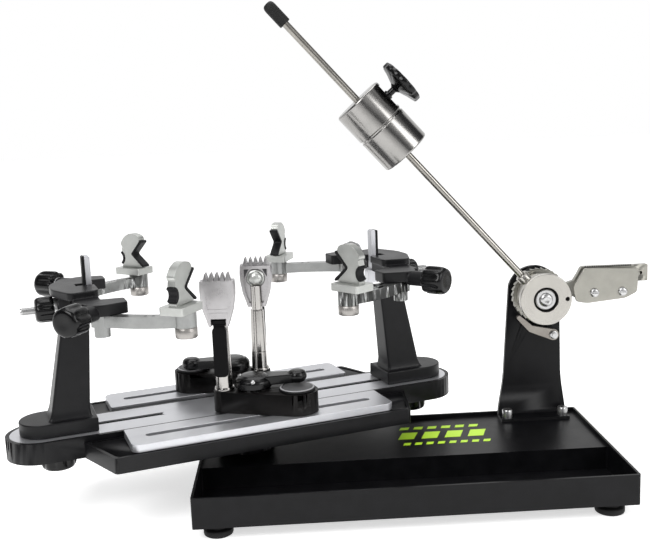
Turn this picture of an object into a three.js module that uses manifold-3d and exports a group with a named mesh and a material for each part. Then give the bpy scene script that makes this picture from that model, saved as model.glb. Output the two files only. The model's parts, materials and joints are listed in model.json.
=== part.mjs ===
// Table-top racket stringing machine: a swinging drop weight pulls the string,
// and a turntable with two towers, four swing arms and two string clamps holds the frame.
// Millimetres, +Z up. X runs along the base, Y from front to back.
import * as THREE from "three";
import { mergeVertices } from "three/addons/utils/BufferGeometryUtils.js";
import Module from "manifold-3d";

const wasm = await Module();
wasm.setup();

// Clearances shared by every piece
const seatGap = 0.3;
const runGap = 0.3;
const overrun = 2;
const weldTolerance = 0.0001;

// How many flats stand for a round: counts, not lengths
const flats = { disc: 32, shaft: 16, small: 12, knobFlutes: 8, knobStepsPerFlute: 3, corner: 4 };

// Base of welded sheet steel: a tool trough in front of a raised, hollow deck
const tray = { length: 520, depth: 250, wallHeight: 37, wall: 3, floor: 3 };
const foot = { height: 17, radius: 17.5, neckRadius: 12, padHeight: 8, shoulder: 2.5, insetX: 28, insetY: 25 };
const deck = { drop: 5, sheet: 2.5, trough: 104 };

// Turntable: where its pivot stands, how it is turned at rest, and its casting
const pivot = { x: -203, y: 55, turn: 19.2, radius: 10, depth: 20 };
const casting = {
  lift: 35, wing: 19, beam: 26, beamHalf: 43, reach: 300, wingHalf: 115, wingReach: 187, wingRoot: 213,
  hubRadius: 38, slotHalf: 6.5, towerSlotHalf: 4.5,
};
const track = { rim: 3, groove: 1.5, grooveDepth: 1.2, slotFrom: 99, slotEndRoom: 15 };
const rail = { thickness: 9.5, inner: 48, outer: 110, half: 166, chamfer: 6, slotHalf: 5.2, slotReach: 145, slotEndRoom: 3 };

// Towers: distances out from the turntable pivot along the track
const towerOut = { left: 0, right: 4 };
const towerSet = [
  { name: "left", side: -1, out: towerOut.left, spread: 3, heading: 47, jawTurn: { front: -10, rear: 0 } },
  { name: "right", side: 1, out: towerOut.right, spread: -5, heading: 60, jawTurn: { front: -14, rear: 0 } },
];
const shoe = { inner: 192, outer: 283, half: 30, height: 17 };
const column = { topInner: 191, topOuter: 224, footInner: 200, footOuter: 247, topHalf: 15, footHalf: 19, top: 244, chamfer: 3 };
const lockKnob = { fromNose: 60, radius: 21, height: 21, studRadius: 3.7, studHoleDepth: 12 };

// Tower heads: crossbar, top plate, lobes over the arm pivots, and knob bosses
const head = {
  blockInner: 204, blockOuter: 226, blockHalf: 17, barInner: 183, barDepth: 29, barBottom: 266, barTop: 279,
  plateThickness: 8, plateInner: 181, plateOuter: 216, platePoint: 233, plateHalf: 57, plateInnerHalf: 49,
  platePointHalf: 16, notchOuter: 203, notchHalf: 7, lobeRadius: 19, coverInner: 157, coverNear: 72, coverFar: 99,
};
const support = {
  inner: 184, width: 10, half: 6, bottom: 250, top: 322, footInner: 178, footTop: 268, spindleRadius: 4.5,
  spindleEnd: 269, spindleHeight: 261,
};
const centreKnob = { washer: 3.7, length: 22, radius: 15.5 };
const armPivot = { out: 186, across: 88, pinRadius: 5, pinTop: 276.5 };
const sideKnob = {
  bossFrom: 16, bossTo: 37, bossRadius: 9.5, gap: 2, length: 29, radius: 17.5, shaftRadius: 4, height: 270,
};

// Swing arms and the swivel jaws that hold the frame's shoulders
const arm = {
  length: 100, heading: 150, bottom: 252.3, thickness: 13.2, half: 7.5, bulge: 7, endRadius: 12.5, endTop: 269.7,
  pivotRadius: 12, footRadius: 9, footBottom: 240,
};
const jaw = {
  plateBack: 29, plateFront: 15, plateHalf: 15, plateBottom: 270, plateThickness: 9, half: 5, height: 48,
  depth: 28, pinRadius: 6, nutRadius: 12.5, nutBottom: 240, nutTop: 252,
};
const pad = { gap: 0.45, thickness: 4.2, half: 6, lift: 0.4 };
const jawNotch = { radius: 11, back: 29, height: 13, sweep: 62 };

// String clamps: a slider on each rail, a swivelling base, a post and a toothed two-jaw head
const clampSet = [
  { name: "front", side: 1 },
  { name: "rear", side: -1 },
];
const slider = {
  along: 47, coreRadius: 10, capRadius: 23, capBottom: 140, capTop: 144, shankRadius: 3.6, nutRadius: 5.8,
  nutBottom: 90, nutTop: 100,
};
const clampBase = {
  top: 139.7, endRadius: 26, postBack: 81, postAside: 46, sleeveRadius: 14, sleeveTop: 140, postHoleBottom: 116,
  leverBack: 47, leverAside: 31, leverBossRadius: 21, leverBossTop: 142.7, headTurn: -22,
};
const lockLever = {
  bottom: 146, thickness: 12, half: 7.5, rootHalf: 11, hubRadius: 23.5, hubWaist: 152, hubTopRadius: 15, hubTop: 159.5,
  bulbRadius: 12.5, bulbBottom: 145, bulbTop: 161, reachAhead: 6, reachAside: 16,
};
const clampPost = {
  pinRadius: 8, collarRadius: 12.5, collarTop: 144, footRadius: 10.7, neckRadius: 7.2, neckHeight: 224, top: 256,
  domeRadius: 12.5, domeHeight: 265, domeDepth: 9,
};
const clampHead = {
  bottom: 226, height: 57, half: 21.5, toothHeight: 9.5, toothSpan: 34, teeth: 5, jawThickness: 8, jawGap: 1.8,
  postOffset: 14, flangeDepth: 5, flangeInner: 13.5, flangeOuter: 19.5, flangeBottom: 232, flangeTop: 272,
  grooveClear: 0.4, guideRadius: 3, guideHeight: 256, guideReach: 5, closing: 1.2,
};
const clampLever = { half: 8.8, drop: 64, thickness: 7.6, neckHalf: 7, hingeRise: 5, hingeRadius: 3.6, slotHalf: 9.4, slotRise: 10 };

// Tension post at the back of the deck, and the stack of wheels on its shaft
const tensionPost = {
  front: 112, plate: 6, footLeft: 148, footRight: 243, waist: 112, waistLeft: 156, waistRight: 236, topLeft: 164,
  topRight: 234, shoulder: 236, crown: 263,
  flangeDepth: 22, flange: 4,
};
const drum = {
  x: 200.8, z: 225.6, front: 58, discRadius: 34.5, disc: 8, recessRadius: 16.6, recessDepth: 3, shaftRadius: 8,
  boltRadius: 13, boltHeight: 6, nutRadius: 13, nutHeight: 8, markRadius: 2.8, markAt: 28.5, markDepth: 4,
};
const rodHub = { from: 74.5, to: 92, radius: 31, socketRadius: 9, socketReach: 41 };
const ratchet = { from: 92.5, wheelTo: 100.5, to: 107, rootRadius: 34.6, tipRadius: 36.8, teeth: 30, discRadius: 25 };
const spacer = { radius: 14 };
const rod = { angle: 131.7, radius: 4.75, start: 12, end: 500, capRadius: 8, capFrom: 492, capEnd: 526 };
const weights = {
  start: 266.5, middle: 314.8, end: 360.3, radius: 34.4, chamfer: 1.5, seam: 1.5, flatDepth: 3, flatHalf: 17, knobAt: 337,
  lockHoleRadius: 4.3, lockDepth: 22,
};
const weightKnob = { radius: 31, height: 15, stemRadius: 4, neckRadius: 6.5, neckFrom: 33, from: 46.5, tip: 13 };
const pawl = {
  x: 220.8, z: 169, from: 93.5, thickness: 6, hubRadius: 7.5, elbowX: 190, elbowZ: 178.5, elbowHalf: 4.5, tipX: 173.8,
  tipZ: 194.6, half: 3, holeRadius: 3.3, screwRadius: 3, screwHead: 5.5, screwHeadHeight: 4,
};

// String gripper: two plates that close on the string, carried by the drum
const gripper = {
  front: 60, frontPlate: 4, backFrom: 66.5, backPlate: 7.5, left: 237, right: 325, top: 265.6, bottom: 218,
  tailRadius: 17, tailHalf: 10, tailEndX: 246, tailEndZ: 240, tabLeft: 318, tabRight: 339, tabTop: 266,
  tabBottom: 244, screwRadius: 3, screwHead: 6, screwHeadHeight: 4, screwZ: 232,
};
const gripperScrews = [265.7, 303.3];

// Shares of a piece's own size that set its outline, chosen by eye
const shieldShares = [[0.56, 0], [0.63, 0.07], [0.88, 0.36], [1, 0.68], [0.97, 1]];
const jawMouthShares = [[0.52, 0], [-0.24, 0.39], [0.44, 0.81]];
const jawBackShares = [[0.26, 0.95], [-0.24, 1], [-0.66, 0.88], [-0.94, 0.66]];
const knobTipShare = 0.8;
const knobShoulderShare = 0.82;
const fluteDepthShare = 0.09;
const toothRootShare = 0.47;
const toothTipShare = 0.08;
const gripperFrontShares = [[0.17, 1], [0.1, 0.78], [0, 0.48], [0.05, 0.06], [0.22, 0], [0.8, 0.1], [0.98, 0.26], [1, 0.93]];
const gripperBackShares = [[0.15, 1.02], [0.08, 0.78], [-0.02, 0.5], [0.03, 0.16], [0.25, 0.06], [0.8, 0.16], [0.96, 0.3], [0.97, 1.01]];

// Heights that follow from the sizes above
const trayFloor = foot.height;
const rimTop = foot.height + tray.wallHeight;
const deckTop = rimTop - deck.drop;
const deckFront = -tray.depth / 2 + deck.trough;
const castingBottom = deckTop + casting.lift;
const wingTop = castingBottom + casting.wing;
const beamTop = castingBottom + casting.beam;
const railBottom = wingTop + seatGap;
const railTop = railBottom + rail.thickness;
const railMiddle = (rail.inner + rail.outer) / 2;
const shoeBottom = beamTop + seatGap;
const shoeTop = shoeBottom + shoe.height;
const clampFloor = railTop + seatGap;
const plateTop = head.barTop + head.plateThickness;
const jawTop = jaw.plateBottom + jaw.plateThickness;
const towerSlotTo = casting.reach - track.slotEndRoom;
const lockKnobAt = casting.reach - lockKnob.fromNose;
const barOuter = head.barInner + head.barDepth;
const knobSeat = Math.max(head.blockOuter, barOuter) + seatGap;
const centreKnobFrom = knobSeat + centreKnob.washer;

// Finishes
const finish = (color, roughness, metalness) => new THREE.MeshStandardMaterial({ color, roughness, metalness });
const blackPaint = () => finish(0x141416, 0.42, 0.3);
const castBlack = () => finish(0x1b1c1d, 0.6, 0.3);
const silver = () => finish(0xb9bbbb, 0.42, 0.85);
const chrome = () => finish(0xd8d8d8, 0.14, 1);
const greyMetal = () => finish(0x8b8d90, 0.4, 0.85);
const rubber = () => finish(0x101010, 0.85, 0);
const plastic = () => finish(0x0c0c0d, 0.3, 0);

// Closed bodies for joining and cutting
function toBody(geometry) {
  const plain = new THREE.BufferGeometry();
  plain.setAttribute("position", geometry.getAttribute("position").clone());
  if (geometry.index) plain.setIndex(geometry.index.clone());
  const welded = mergeVertices(plain, weldTolerance);
  const vertProperties = new Float32Array(welded.getAttribute("position").array);
  const kept = [];
  const index = welded.index.array;
  for (let i = 0; i < index.length; i += 3) {
    const [a, b, c] = [index[i], index[i + 1], index[i + 2]];
    if (a !== b && b !== c && c !== a) kept.push(a, b, c);
  }
  return new wasm.Manifold(new wasm.Mesh({ numProp: 3, vertProperties, triVerts: new Uint32Array(kept) }));
}

function fromBody(body) {
  const mesh = body.getMesh();
  const geometry = new THREE.BufferGeometry();
  geometry.setAttribute("position", new THREE.BufferAttribute(new Float32Array(mesh.vertProperties), 3));
  geometry.setIndex(new THREE.BufferAttribute(new Uint32Array(mesh.triVerts), 1));
  return geometry;
}

function join(...pieces) {
  return fromBody(pieces.map(toBody).reduce((sum, body) => sum.add(body)));
}

function common(piece, other) {
  return fromBody(toBody(piece).intersect(toBody(other)));
}

function cut(piece, ...tools) {
  return fromBody(tools.map(toBody).reduce((rest, tool) => rest.subtract(tool), toBody(piece)));
}

// Basic shapes, each given by where it starts and ends
function block(x0, x1, y0, y1, z0, z1) {
  return new THREE.BoxGeometry(x1 - x0, y1 - y0, z1 - z0).translate((x0 + x1) / 2, (y0 + y1) / 2, (z0 + z1) / 2);
}

function plate(points, z0, z1) {
  const outline = new THREE.Shape(points.map(([x, y]) => new THREE.Vector2(x, y)));
  return new THREE.ExtrudeGeometry(outline, { depth: z1 - z0, bevelEnabled: false }).translate(0, 0, z0);
}

function round(radius, z0, z1, count = flats.shaft, x = 0, y = 0) {
  const geometry = new THREE.CylinderGeometry(radius, radius, z1 - z0, count).rotateX(Math.PI / 2);
  return geometry.translate(x, y, (z0 + z1) / 2);
}

function turnedProfile(points, count = flats.shaft) {
  const profile = points.map(([r, z]) => new THREE.Vector2(r, z));
  return new THREE.LatheGeometry(profile, count).rotateX(Math.PI / 2);
}

// A skin over rings that all have the same number of points
function loft(rings) {
  const count = rings[0].points.length;
  const corners = [];
  const faces = [];
  for (const ring of rings) for (const [x, y] of ring.points) corners.push(x, y, ring.z);
  for (let level = 0; level < rings.length - 1; level += 1) {
    for (let i = 0; i < count; i += 1) {
      const a = level * count + i;
      const b = level * count + ((i + 1) % count);
      faces.push(a, b, b + count, a, b + count, a + count);
    }
  }
  const last = (rings.length - 1) * count;
  for (const [base, flip] of [[0, true], [last, false]]) {
    const outline = rings[base / count].points.map(([x, y]) => new THREE.Vector2(x, y));
    for (const [a, b, c] of THREE.ShapeUtils.triangulateShape(outline, [])) {
      if (flip) faces.push(base + a, base + c, base + b);
      else faces.push(base + a, base + b, base + c);
    }
  }
  const geometry = new THREE.BufferGeometry();
  geometry.setAttribute("position", new THREE.BufferAttribute(new Float32Array(corners), 3));
  geometry.setIndex(faces);
  return geometry;
}

// Outlines in the plane
function circlePoints(radius, x, y, from, to, steps) {
  const points = [];
  for (let i = 0; i <= steps; i += 1) {
    const angle = from + ((to - from) * i) / steps;
    points.push([x + radius * Math.cos(angle), y + radius * Math.sin(angle)]);
  }
  return points;
}

function stadium(half, x0, x1) {
  const steps = flats.disc / 3;
  return [
    ...circlePoints(half, x1, 0, -Math.PI / 2, Math.PI / 2, steps),
    ...circlePoints(half, x0, 0, Math.PI / 2, Math.PI * 1.5, steps),
  ];
}

function slotOutline(half, x0, x1, y) {
  const steps = flats.corner;
  return [
    ...circlePoints(half, x1 - half, y, -Math.PI / 2, Math.PI / 2, steps),
    ...circlePoints(half, x0 + half, y, Math.PI / 2, Math.PI * 1.5, steps),
  ];
}

// Two circles and the straight sides that touch both
function link(r0, r1, x1, y1) {
  const span = Math.hypot(x1, y1);
  const heading = Math.atan2(y1, x1);
  const lean = Math.asin((r0 - r1) / span);
  const open = Math.PI / 2 - lean;
  const steps = flats.shaft / 2;
  return [
    ...circlePoints(r0, 0, 0, heading + open, heading + 2 * Math.PI - open, steps),
    ...circlePoints(r1, x1, y1, heading - open, heading + open, steps),
  ];
}

function flutedRing(radius) {
  const count = flats.knobFlutes * flats.knobStepsPerFlute;
  const points = [];
  for (let i = 0; i < count; i += 1) {
    const angle = (2 * Math.PI * i) / count;
    const wave = Math.cos(flats.knobFlutes * angle);
    const r = radius * (1 - fluteDepthShare * (1 - wave) / 2);
    points.push([r * Math.cos(angle), r * Math.sin(angle)]);
  }
  return points;
}

// Fluted grip whose far end is drawn in
function flutedKnob(radius, z0, z1) {
  const waist = z0 + (z1 - z0) * knobShoulderShare;
  return loft([
    { points: flutedRing(radius), z: z0 },
    { points: flutedRing(radius), z: waist },
    { points: flutedRing(radius * knobTipShare), z: z1 },
  ]);
}

// Moves that keep a copy's faces pointing out
const degrees = THREE.MathUtils.degToRad;

function mirrored(geometry, sx, sy) {
  const copy = geometry.clone().scale(sx, sy, 1);
  if (sx * sy > 0) return copy;
  const plain = mergeVertices(new THREE.BufferGeometry()
    .setAttribute("position", copy.getAttribute("position"))
    .setIndex(copy.index), weldTolerance);
  const index = plain.index.array;
  for (let i = 0; i < index.length; i += 3) [index[i + 1], index[i + 2]] = [index[i + 2], index[i + 1]];
  return plain;
}

const alongX = (geometry) => geometry.rotateY(Math.PI / 2);
const alongY = (geometry) => geometry.rotateX(-Math.PI / 2);

function named(group, name, geometry, material) {
  const mesh = new THREE.Mesh(fromBody(toBody(geometry)), material);
  mesh.name = name;
  group.add(mesh);
  return mesh;
}

// Base: tray with its raised deck, and four feet
function buildBase(group) {
  named(group, "base_tray", baseShape(), blackPaint());
  const profile = [[0, 0], [foot.radius, 0], [foot.radius, foot.padHeight],
    [foot.neckRadius, foot.padHeight + foot.shoulder], [foot.neckRadius, foot.height], [0, foot.height]];
  for (const [across, sx] of [["left", -1], ["right", 1]]) {
    for (const [place, sy] of [["front", -1], ["rear", 1]]) {
      const at = [sx * (tray.length / 2 - foot.insetX), sy * (tray.depth / 2 - foot.insetY)];
      named(group, `${across}_${place}_foot`, turnedProfile(profile).translate(at[0], at[1], 0), rubber());
    }
  }
}

function baseShape() {
  const [halfX, halfY] = [tray.length / 2, tray.depth / 2];
  const [left, right, front, back] = [-halfX + tray.wall, halfX - tray.wall, -halfY + tray.wall, halfY - tray.wall];
  const floor = trayFloor + tray.floor;
  const shell = block(-halfX, halfX, -halfY, halfY, trayFloor, rimTop);
  const trough = block(left, right, front, deckFront, floor, rimTop + overrun);
  const above = block(left, right, deckFront - overrun, back, deckTop, rimTop + overrun);
  const below = block(left, right, deckFront + deck.sheet, back, floor, deckTop - deck.sheet);
  const pivotHole = round(pivot.radius + runGap, floor, deckTop + overrun, flats.shaft, pivot.x, pivot.y);
  return cut(shell, trough, above, below, pivotHole);
}

// Tension post with its forward flange, the pawl's stud and the fixed shaft
function buildTensionPost(group) {
  const { footLeft, footRight, waist, waistLeft, waistRight, topLeft, topRight, shoulder, crown, front } = tensionPost;
  const middle = (topLeft + topRight) / 2;
  const half = (topRight - topLeft) / 2;
  const rise = crown - shoulder;
  const archRadius = (half * half + rise * rise) / (2 * rise);
  const archHalf = Math.asin(half / archRadius);
  const arch = circlePoints(archRadius, middle, crown - archRadius, Math.PI / 2 - archHalf, Math.PI / 2 + archHalf,
    flats.shaft / 2);
  const outline = [[footLeft, deckTop], [footRight, deckTop], [waistRight, waist], ...arch, [waistLeft, waist]];
  const back = front + tensionPost.plate;
  const sheet = plate(outline, 0, tensionPost.plate).rotateX(Math.PI / 2).translate(0, back, 0);
  const flangeTop = deckTop + tensionPost.flange;
  const flange = block(footLeft, footRight, front - tensionPost.flangeDepth, back, deckTop, flangeTop);
  const shaftHole = alongY(round(drum.shaftRadius + seatGap, 0, tensionPost.plate + 2 * overrun))
    .translate(drum.x, front - overrun, drum.z);
  named(group, "tension_post", cut(join(sheet, flange, pawlStud()), shaftHole), blackPaint());
  buildDrumShaft(group, back);
}

// The pawl turns on this stud, between its head and its shoulder
function pawlStud() {
  const end = tensionPost.front + tensionPost.plate / 2;
  const behind = pawl.from + pawl.thickness + seatGap;
  const head = pawl.from - seatGap;
  const profile = [[0, head - pawl.screwHeadHeight], [pawl.screwHead, head - pawl.screwHeadHeight],
    [pawl.screwHead, head], [pawl.screwRadius, head], [pawl.screwRadius, behind], [pawl.screwHead, behind],
    [pawl.screwHead, end], [0, end]];
  return alongY(turnedProfile(profile, flats.small)).translate(pawl.x, 0, pawl.z);
}

// The bolt head sits in the front disc's recess, the nut behind the post
function buildDrumShaft(group, back) {
  const recess = drum.front + drum.recessDepth;
  const boltBack = recess - seatGap;
  const profile = [[0, boltBack - drum.boltHeight], [drum.boltRadius, boltBack - drum.boltHeight],
    [drum.boltRadius, boltBack], [drum.shaftRadius, boltBack], [drum.shaftRadius, ratchet.to + seatGap],
    [spacer.radius, ratchet.to + seatGap], [spacer.radius, tensionPost.front - seatGap],
    [drum.shaftRadius, tensionPost.front - seatGap], [drum.shaftRadius, back + seatGap],
    [drum.nutRadius, back + seatGap], [drum.nutRadius, back + seatGap + drum.nutHeight],
    [0, back + seatGap + drum.nutHeight]];
  named(group, "drum_shaft", alongY(turnedProfile(profile)).translate(drum.x, 0, drum.z), silver());
}

// Turntable casting and its two rails, in the turntable's own frame
function buildTurntable(group) {
  named(group, "turntable_casting", castingShape(), castBlack());
  for (const [place, side] of [["front", -1], ["rear", 1]]) {
    named(group, `${place}_rail`, railShape(side), silver());
  }
}

function towerSlot(side, half, z0, z1) {
  const [near, far] = [side * track.slotFrom, side * towerSlotTo].sort((a, b) => a - b);
  return plate(slotOutline(half, near, far, 0), z0, z1);
}

function railShape(side) {
  const { inner, outer, half, chamfer } = rail;
  const y = (value) => side * value;
  const outline = [[-half, y(inner)], [half, y(inner)], [half, y(outer - chamfer)], [half - chamfer, y(outer)],
    [-half + chamfer, y(outer)], [-half, y(outer - chamfer)]];
  if (side < 0) outline.reverse();
  const slot = plate(slotOutline(rail.slotHalf, -rail.slotReach, rail.slotReach, y(railMiddle)), railBottom - overrun,
    railTop + overrun);
  return cut(plate(outline, railBottom, railTop), slot);
}

function castingShape() {
  const centre = casting.reach - casting.beamHalf;
  const beam = plate(stadium(casting.beamHalf, -centre, centre), castingBottom, beamTop);
  const { wingRoot, wingReach, wingHalf, beamHalf } = casting;
  const wings = plate([[wingRoot, -beamHalf], [wingRoot, beamHalf], [wingReach, wingHalf], [-wingReach, wingHalf],
    [-wingRoot, beamHalf], [-wingRoot, -beamHalf], [-wingReach, -wingHalf], [wingReach, -wingHalf]],
    castingBottom, wingTop);
  const hub = round(casting.hubRadius, deckTop + runGap, castingBottom + overrun, flats.disc);
  const stub = round(pivot.radius, deckTop - pivot.depth, castingBottom);
  const rim = ringCut(beamHalf - track.rim, beamHalf - track.rim - track.groove, centre);
  const reach = rail.slotReach + rail.slotEndRoom;
  const [low, high] = [castingBottom - overrun, beamTop + overrun];
  const railSlots = [-1, 1].map((side) => plate(slotOutline(casting.slotHalf, -reach, reach, side * railMiddle), low, high));
  const towerSlots = [-1, 1].map((side) => towerSlot(side, casting.towerSlotHalf, low, high));
  return cut(join(beam, wings, hub, stub), rim, ...railSlots, ...towerSlots);
}

// A shallow groove that parts the machined track from the cast rim round it
function ringCut(outer, inner, centre) {
  const [low, high] = [beamTop - track.grooveDepth, beamTop + overrun];
  return cut(plate(stadium(outer, -centre, centre), low, high), plate(stadium(inner, -centre, centre), low - overrun,
    high + overrun));
}

// One tower: post on its shoe, the head and everything that the head carries
function buildTower(group, tower) {
  const tag = tower.name;
  const inner = new THREE.Group();
  inner.position.set(tower.side * tower.out, 0, 0);
  group.add(inner);
  const put = (name, geometry, material, sy = 1) => named(inner, name, mirrored(geometry, tower.side, sy), material);
  put(`${tag}_tower`, towerShape(), castBlack());
  put(`${tag}_head`, headShape(tower.heading), castBlack());
  put(`${tag}_lock_knob`, lockKnobShape(), plastic());
  put(`${tag}_support`, supportShape(), silver());
  put(`${tag}_centre_knob`, centreKnobShape(), plastic());
  for (const [place, sy] of [["front", -1], ["rear", 1]]) {
    put(`${tag}_${place}_side_knob`, sideKnobShape(tower.heading), plastic(), sy);
    put(`${tag}_${place}_arm`, swung(armShape(), tower.spread), silver(), sy);
    const toJaw = armEnd(tower.spread);
    const turn = facing(toJaw, tower.out) + degrees(tower.jawTurn[place]);
    const setDown = (geometry) => geometry.rotateZ(turn).translate(toJaw[0], toJaw[1], 0);
    put(`${tag}_${place}_jaw`, setDown(jawShape()), silver(), sy);
    put(`${tag}_${place}_jaw_pad`, setDown(jawPadShape()), rubber(), sy);
  }
}

const swung = (geometry, angle) => geometry.translate(-armPivot.out, -armPivot.across, 0)
  .rotateZ(degrees(-angle)).translate(armPivot.out, armPivot.across, 0);

function armEnd(spread) {
  const heading = degrees(arm.heading - spread);
  return [armPivot.out + arm.length * Math.cos(heading), armPivot.across + arm.length * Math.sin(heading)];
}

// A jaw's mouth looks at the middle of the turntable, but for the turn that each tower gives it
const facing = ([x, y], out) => Math.atan2(-y, -(x + out));

function rectangle(x0, x1, half, chamfer) {
  return [[x0 + chamfer, -half], [x1 - chamfer, -half], [x1, -half + chamfer], [x1, half - chamfer],
    [x1 - chamfer, half], [x0 + chamfer, half], [x0, half - chamfer], [x0, -half + chamfer]];
}

function towerShape() {
  const steps = flats.shaft / 2;
  const nose = circlePoints(shoe.half, shoe.outer - shoe.half, 0, -Math.PI / 2, Math.PI / 2, steps);
  const base = plate([[shoe.inner, -shoe.half], ...nose, [shoe.inner, shoe.half]], shoeBottom, shoeTop);
  const post = loft([
    { points: rectangle(column.footInner, column.footOuter, column.footHalf, column.chamfer), z: shoeTop - overrun },
    { points: rectangle(column.topInner, column.topOuter, column.topHalf, column.chamfer), z: column.top },
  ]);
  const hole = round(lockKnob.studRadius + seatGap, shoeBottom - overrun, shoeBottom + lockKnob.studHoleDepth,
    flats.small, lockKnobAt);
  return cut(join(base, post), hole);
}

function lockKnobShape() {
  const top = castingBottom - seatGap;
  const grip = flutedKnob(lockKnob.radius, 0, lockKnob.height).rotateX(Math.PI).translate(0, 0, top);
  const stud = round(lockKnob.studRadius, top - overrun, shoeBottom + lockKnob.studHoleDepth - seatGap, flats.small);
  return join(grip, stud).translate(lockKnobAt, 0, 0);
}

function headShape(heading) {
  const { blockInner, blockOuter, blockHalf, barInner, barBottom, barTop } = head;
  const neck = block(blockInner, blockOuter, -blockHalf, blockHalf, column.top + seatGap, barTop);
  const bar = block(barInner, barOuter, -armPivot.across, armPivot.across, barBottom, barTop);
  const lid = plate([[head.plateInner, -head.plateInnerHalf], [head.plateOuter, -head.plateHalf],
    [head.platePoint, -head.platePointHalf], [head.platePoint, head.platePointHalf], [head.plateOuter, head.plateHalf],
    [head.plateInner, head.plateInnerHalf]], barTop, plateTop);
  const lobes = [-1, 1].flatMap((side) => lobeShapes(side, heading));
  const notch = block(head.plateInner - overrun, head.notchOuter, -head.notchHalf, head.notchHalf, barBottom - overrun,
    plateTop + overrun);
  const bore = alongX(round(support.spindleRadius + seatGap, blockInner - overrun, blockOuter + overrun, flats.small))
    .translate(0, 0, support.spindleHeight);
  const holes = [-1, 1].flatMap((side) => lobeHoles(side, heading));
  return cut(join(neck, bar, lid, ...lobes), notch, bore, ...holes);
}

function alongKnob(geometry, side, heading) {
  return alongX(geometry).rotateZ(side * degrees(heading))
    .translate(armPivot.out, side * armPivot.across, sideKnob.height);
}

function lobeShapes(side, heading) {
  const { lobeRadius, coverInner, coverNear, coverFar, barBottom, barTop } = head;
  const [low, high] = [side * coverNear, side * coverFar].sort((a, b) => a - b);
  return [
    round(lobeRadius, barBottom, barTop, flats.disc, armPivot.out, side * armPivot.across),
    block(coverInner, armPivot.out, low, high, barBottom, barTop),
    alongKnob(round(sideKnob.bossRadius, sideKnob.bossFrom, sideKnob.bossTo), side, heading),
  ];
}

function lobeHoles(side, heading) {
  const pinHole = round(armPivot.pinRadius + runGap, head.barBottom - overrun, armPivot.pinTop + runGap, flats.shaft,
    armPivot.out, side * armPivot.across);
  const bore = round(sideKnob.shaftRadius + seatGap, 0, sideKnob.bossTo + overrun, flats.small);
  return [pinHole, alongKnob(bore, side, heading)];
}

function supportShape() {
  const outer = support.inner + support.width;
  const bar = block(support.inner, outer, -support.half, support.half, support.bottom, support.top);
  const toe = block(support.footInner, outer, -support.half, support.half, support.bottom, support.footTop);
  const spindle = alongX(round(support.spindleRadius, outer - overrun, support.spindleEnd, flats.small))
    .translate(0, 0, support.spindleHeight);
  return join(bar, toe, spindle);
}

function centreKnobShape() {
  const end = centreKnobFrom + centreKnob.length;
  const grip = alongX(flutedKnob(centreKnob.radius, centreKnobFrom, end));
  const washer = alongX(round(centreKnob.radius * knobTipShare, knobSeat, centreKnobFrom + overrun));
  const bore = alongX(round(support.spindleRadius + seatGap, knobSeat - overrun, end + overrun, flats.small));
  return cut(join(grip, washer), bore).translate(0, 0, support.spindleHeight);
}

function sideKnobShape(heading) {
  const from = sideKnob.bossTo + seatGap;
  const shaft = round(sideKnob.shaftRadius, armPivot.pinRadius + seatGap, from + overrun, flats.small);
  const collar = round(sideKnob.bossRadius, from, from + sideKnob.gap + overrun);
  const grip = flutedKnob(sideKnob.radius, from + sideKnob.gap, from + sideKnob.gap + sideKnob.length);
  return alongKnob(join(grip, collar, shaft), 1, heading);
}

// Swing arm: pin in the lobe, a curved bar and the round end that carries the jaw
function armShape() {
  const top = arm.bottom + arm.thickness;
  const [endX, endY] = armEnd(0);
  const at = [armPivot.out, armPivot.across];
  const bar = plate(curvedBar(at, [endX, endY]), arm.bottom, top);
  const pivotEnd = round(arm.pivotRadius, arm.bottom, top, flats.shaft, ...at);
  const pin = round(armPivot.pinRadius, top - overrun, armPivot.pinTop, flats.shaft, ...at);
  const button = round(arm.footRadius, arm.footBottom, arm.bottom + overrun, flats.shaft, ...at);
  const jawEnd = round(arm.endRadius, arm.bottom, arm.endTop, flats.shaft, endX, endY);
  const hole = round(jaw.pinRadius + runGap, arm.bottom - overrun, arm.endTop + overrun, flats.shaft, endX, endY);
  return cut(join(bar, pivotEnd, pin, button, jawEnd), hole);
}

function curvedBar([x0, y0], [x1, y1]) {
  const span = Math.hypot(x1 - x0, y1 - y0);
  const [dx, dy] = [(x1 - x0) / span, (y1 - y0) / span];
  const steps = flats.shaft / 2;
  const sideOf = (offset) => Array.from({ length: steps + 1 }, (_, i) => {
    const t = i / steps;
    const out = offset + arm.bulge * 4 * t * (1 - t);
    return [x0 + dx * span * t + dy * out, y0 + dy * span * t - dx * out];
  });
  return [...sideOf(arm.half), ...sideOf(-arm.half).reverse()];
}

// Swivel jaw: hourglass cheek on a square foot, with its pin and nut below
function jawShape() {
  const footPlate = block(-jaw.plateBack, jaw.plateFront, -jaw.plateHalf, jaw.plateHalf, jaw.plateBottom, jawTop);
  const outline = jawOutline();
  const cheek = upright(plate(outline, -jaw.half, jaw.half));
  const pin = round(jaw.pinRadius, jaw.nutBottom, jaw.plateBottom + overrun);
  const nut = round(jaw.nutRadius, jaw.nutBottom, jaw.nutTop);
  return join(footPlate, cheek.translate(0, 0, jawTop), pin, nut);
}

// Turns an outline drawn as across and up into one that stands on the XZ plane
const upright = (geometry) => geometry.rotateX(Math.PI / 2);

const scaled = (shares, wide, tall) => shares.map(([x, y]) => [x * wide, y * tall]);

function jawOutline() {
  const mouth = scaled(jawMouthShares, jaw.depth, jaw.height);
  const back = scaled(jawBackShares, jaw.depth, jaw.height);
  const sweep = degrees(jawNotch.sweep);
  const notch = circlePoints(jawNotch.radius, -jawNotch.back, jawNotch.height, sweep, -sweep, flats.corner * 2);
  const low = [-jawNotch.back + jawNotch.radius * Math.cos(sweep), 0];
  return [low, ...mouth, ...back, ...notch];
}

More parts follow.
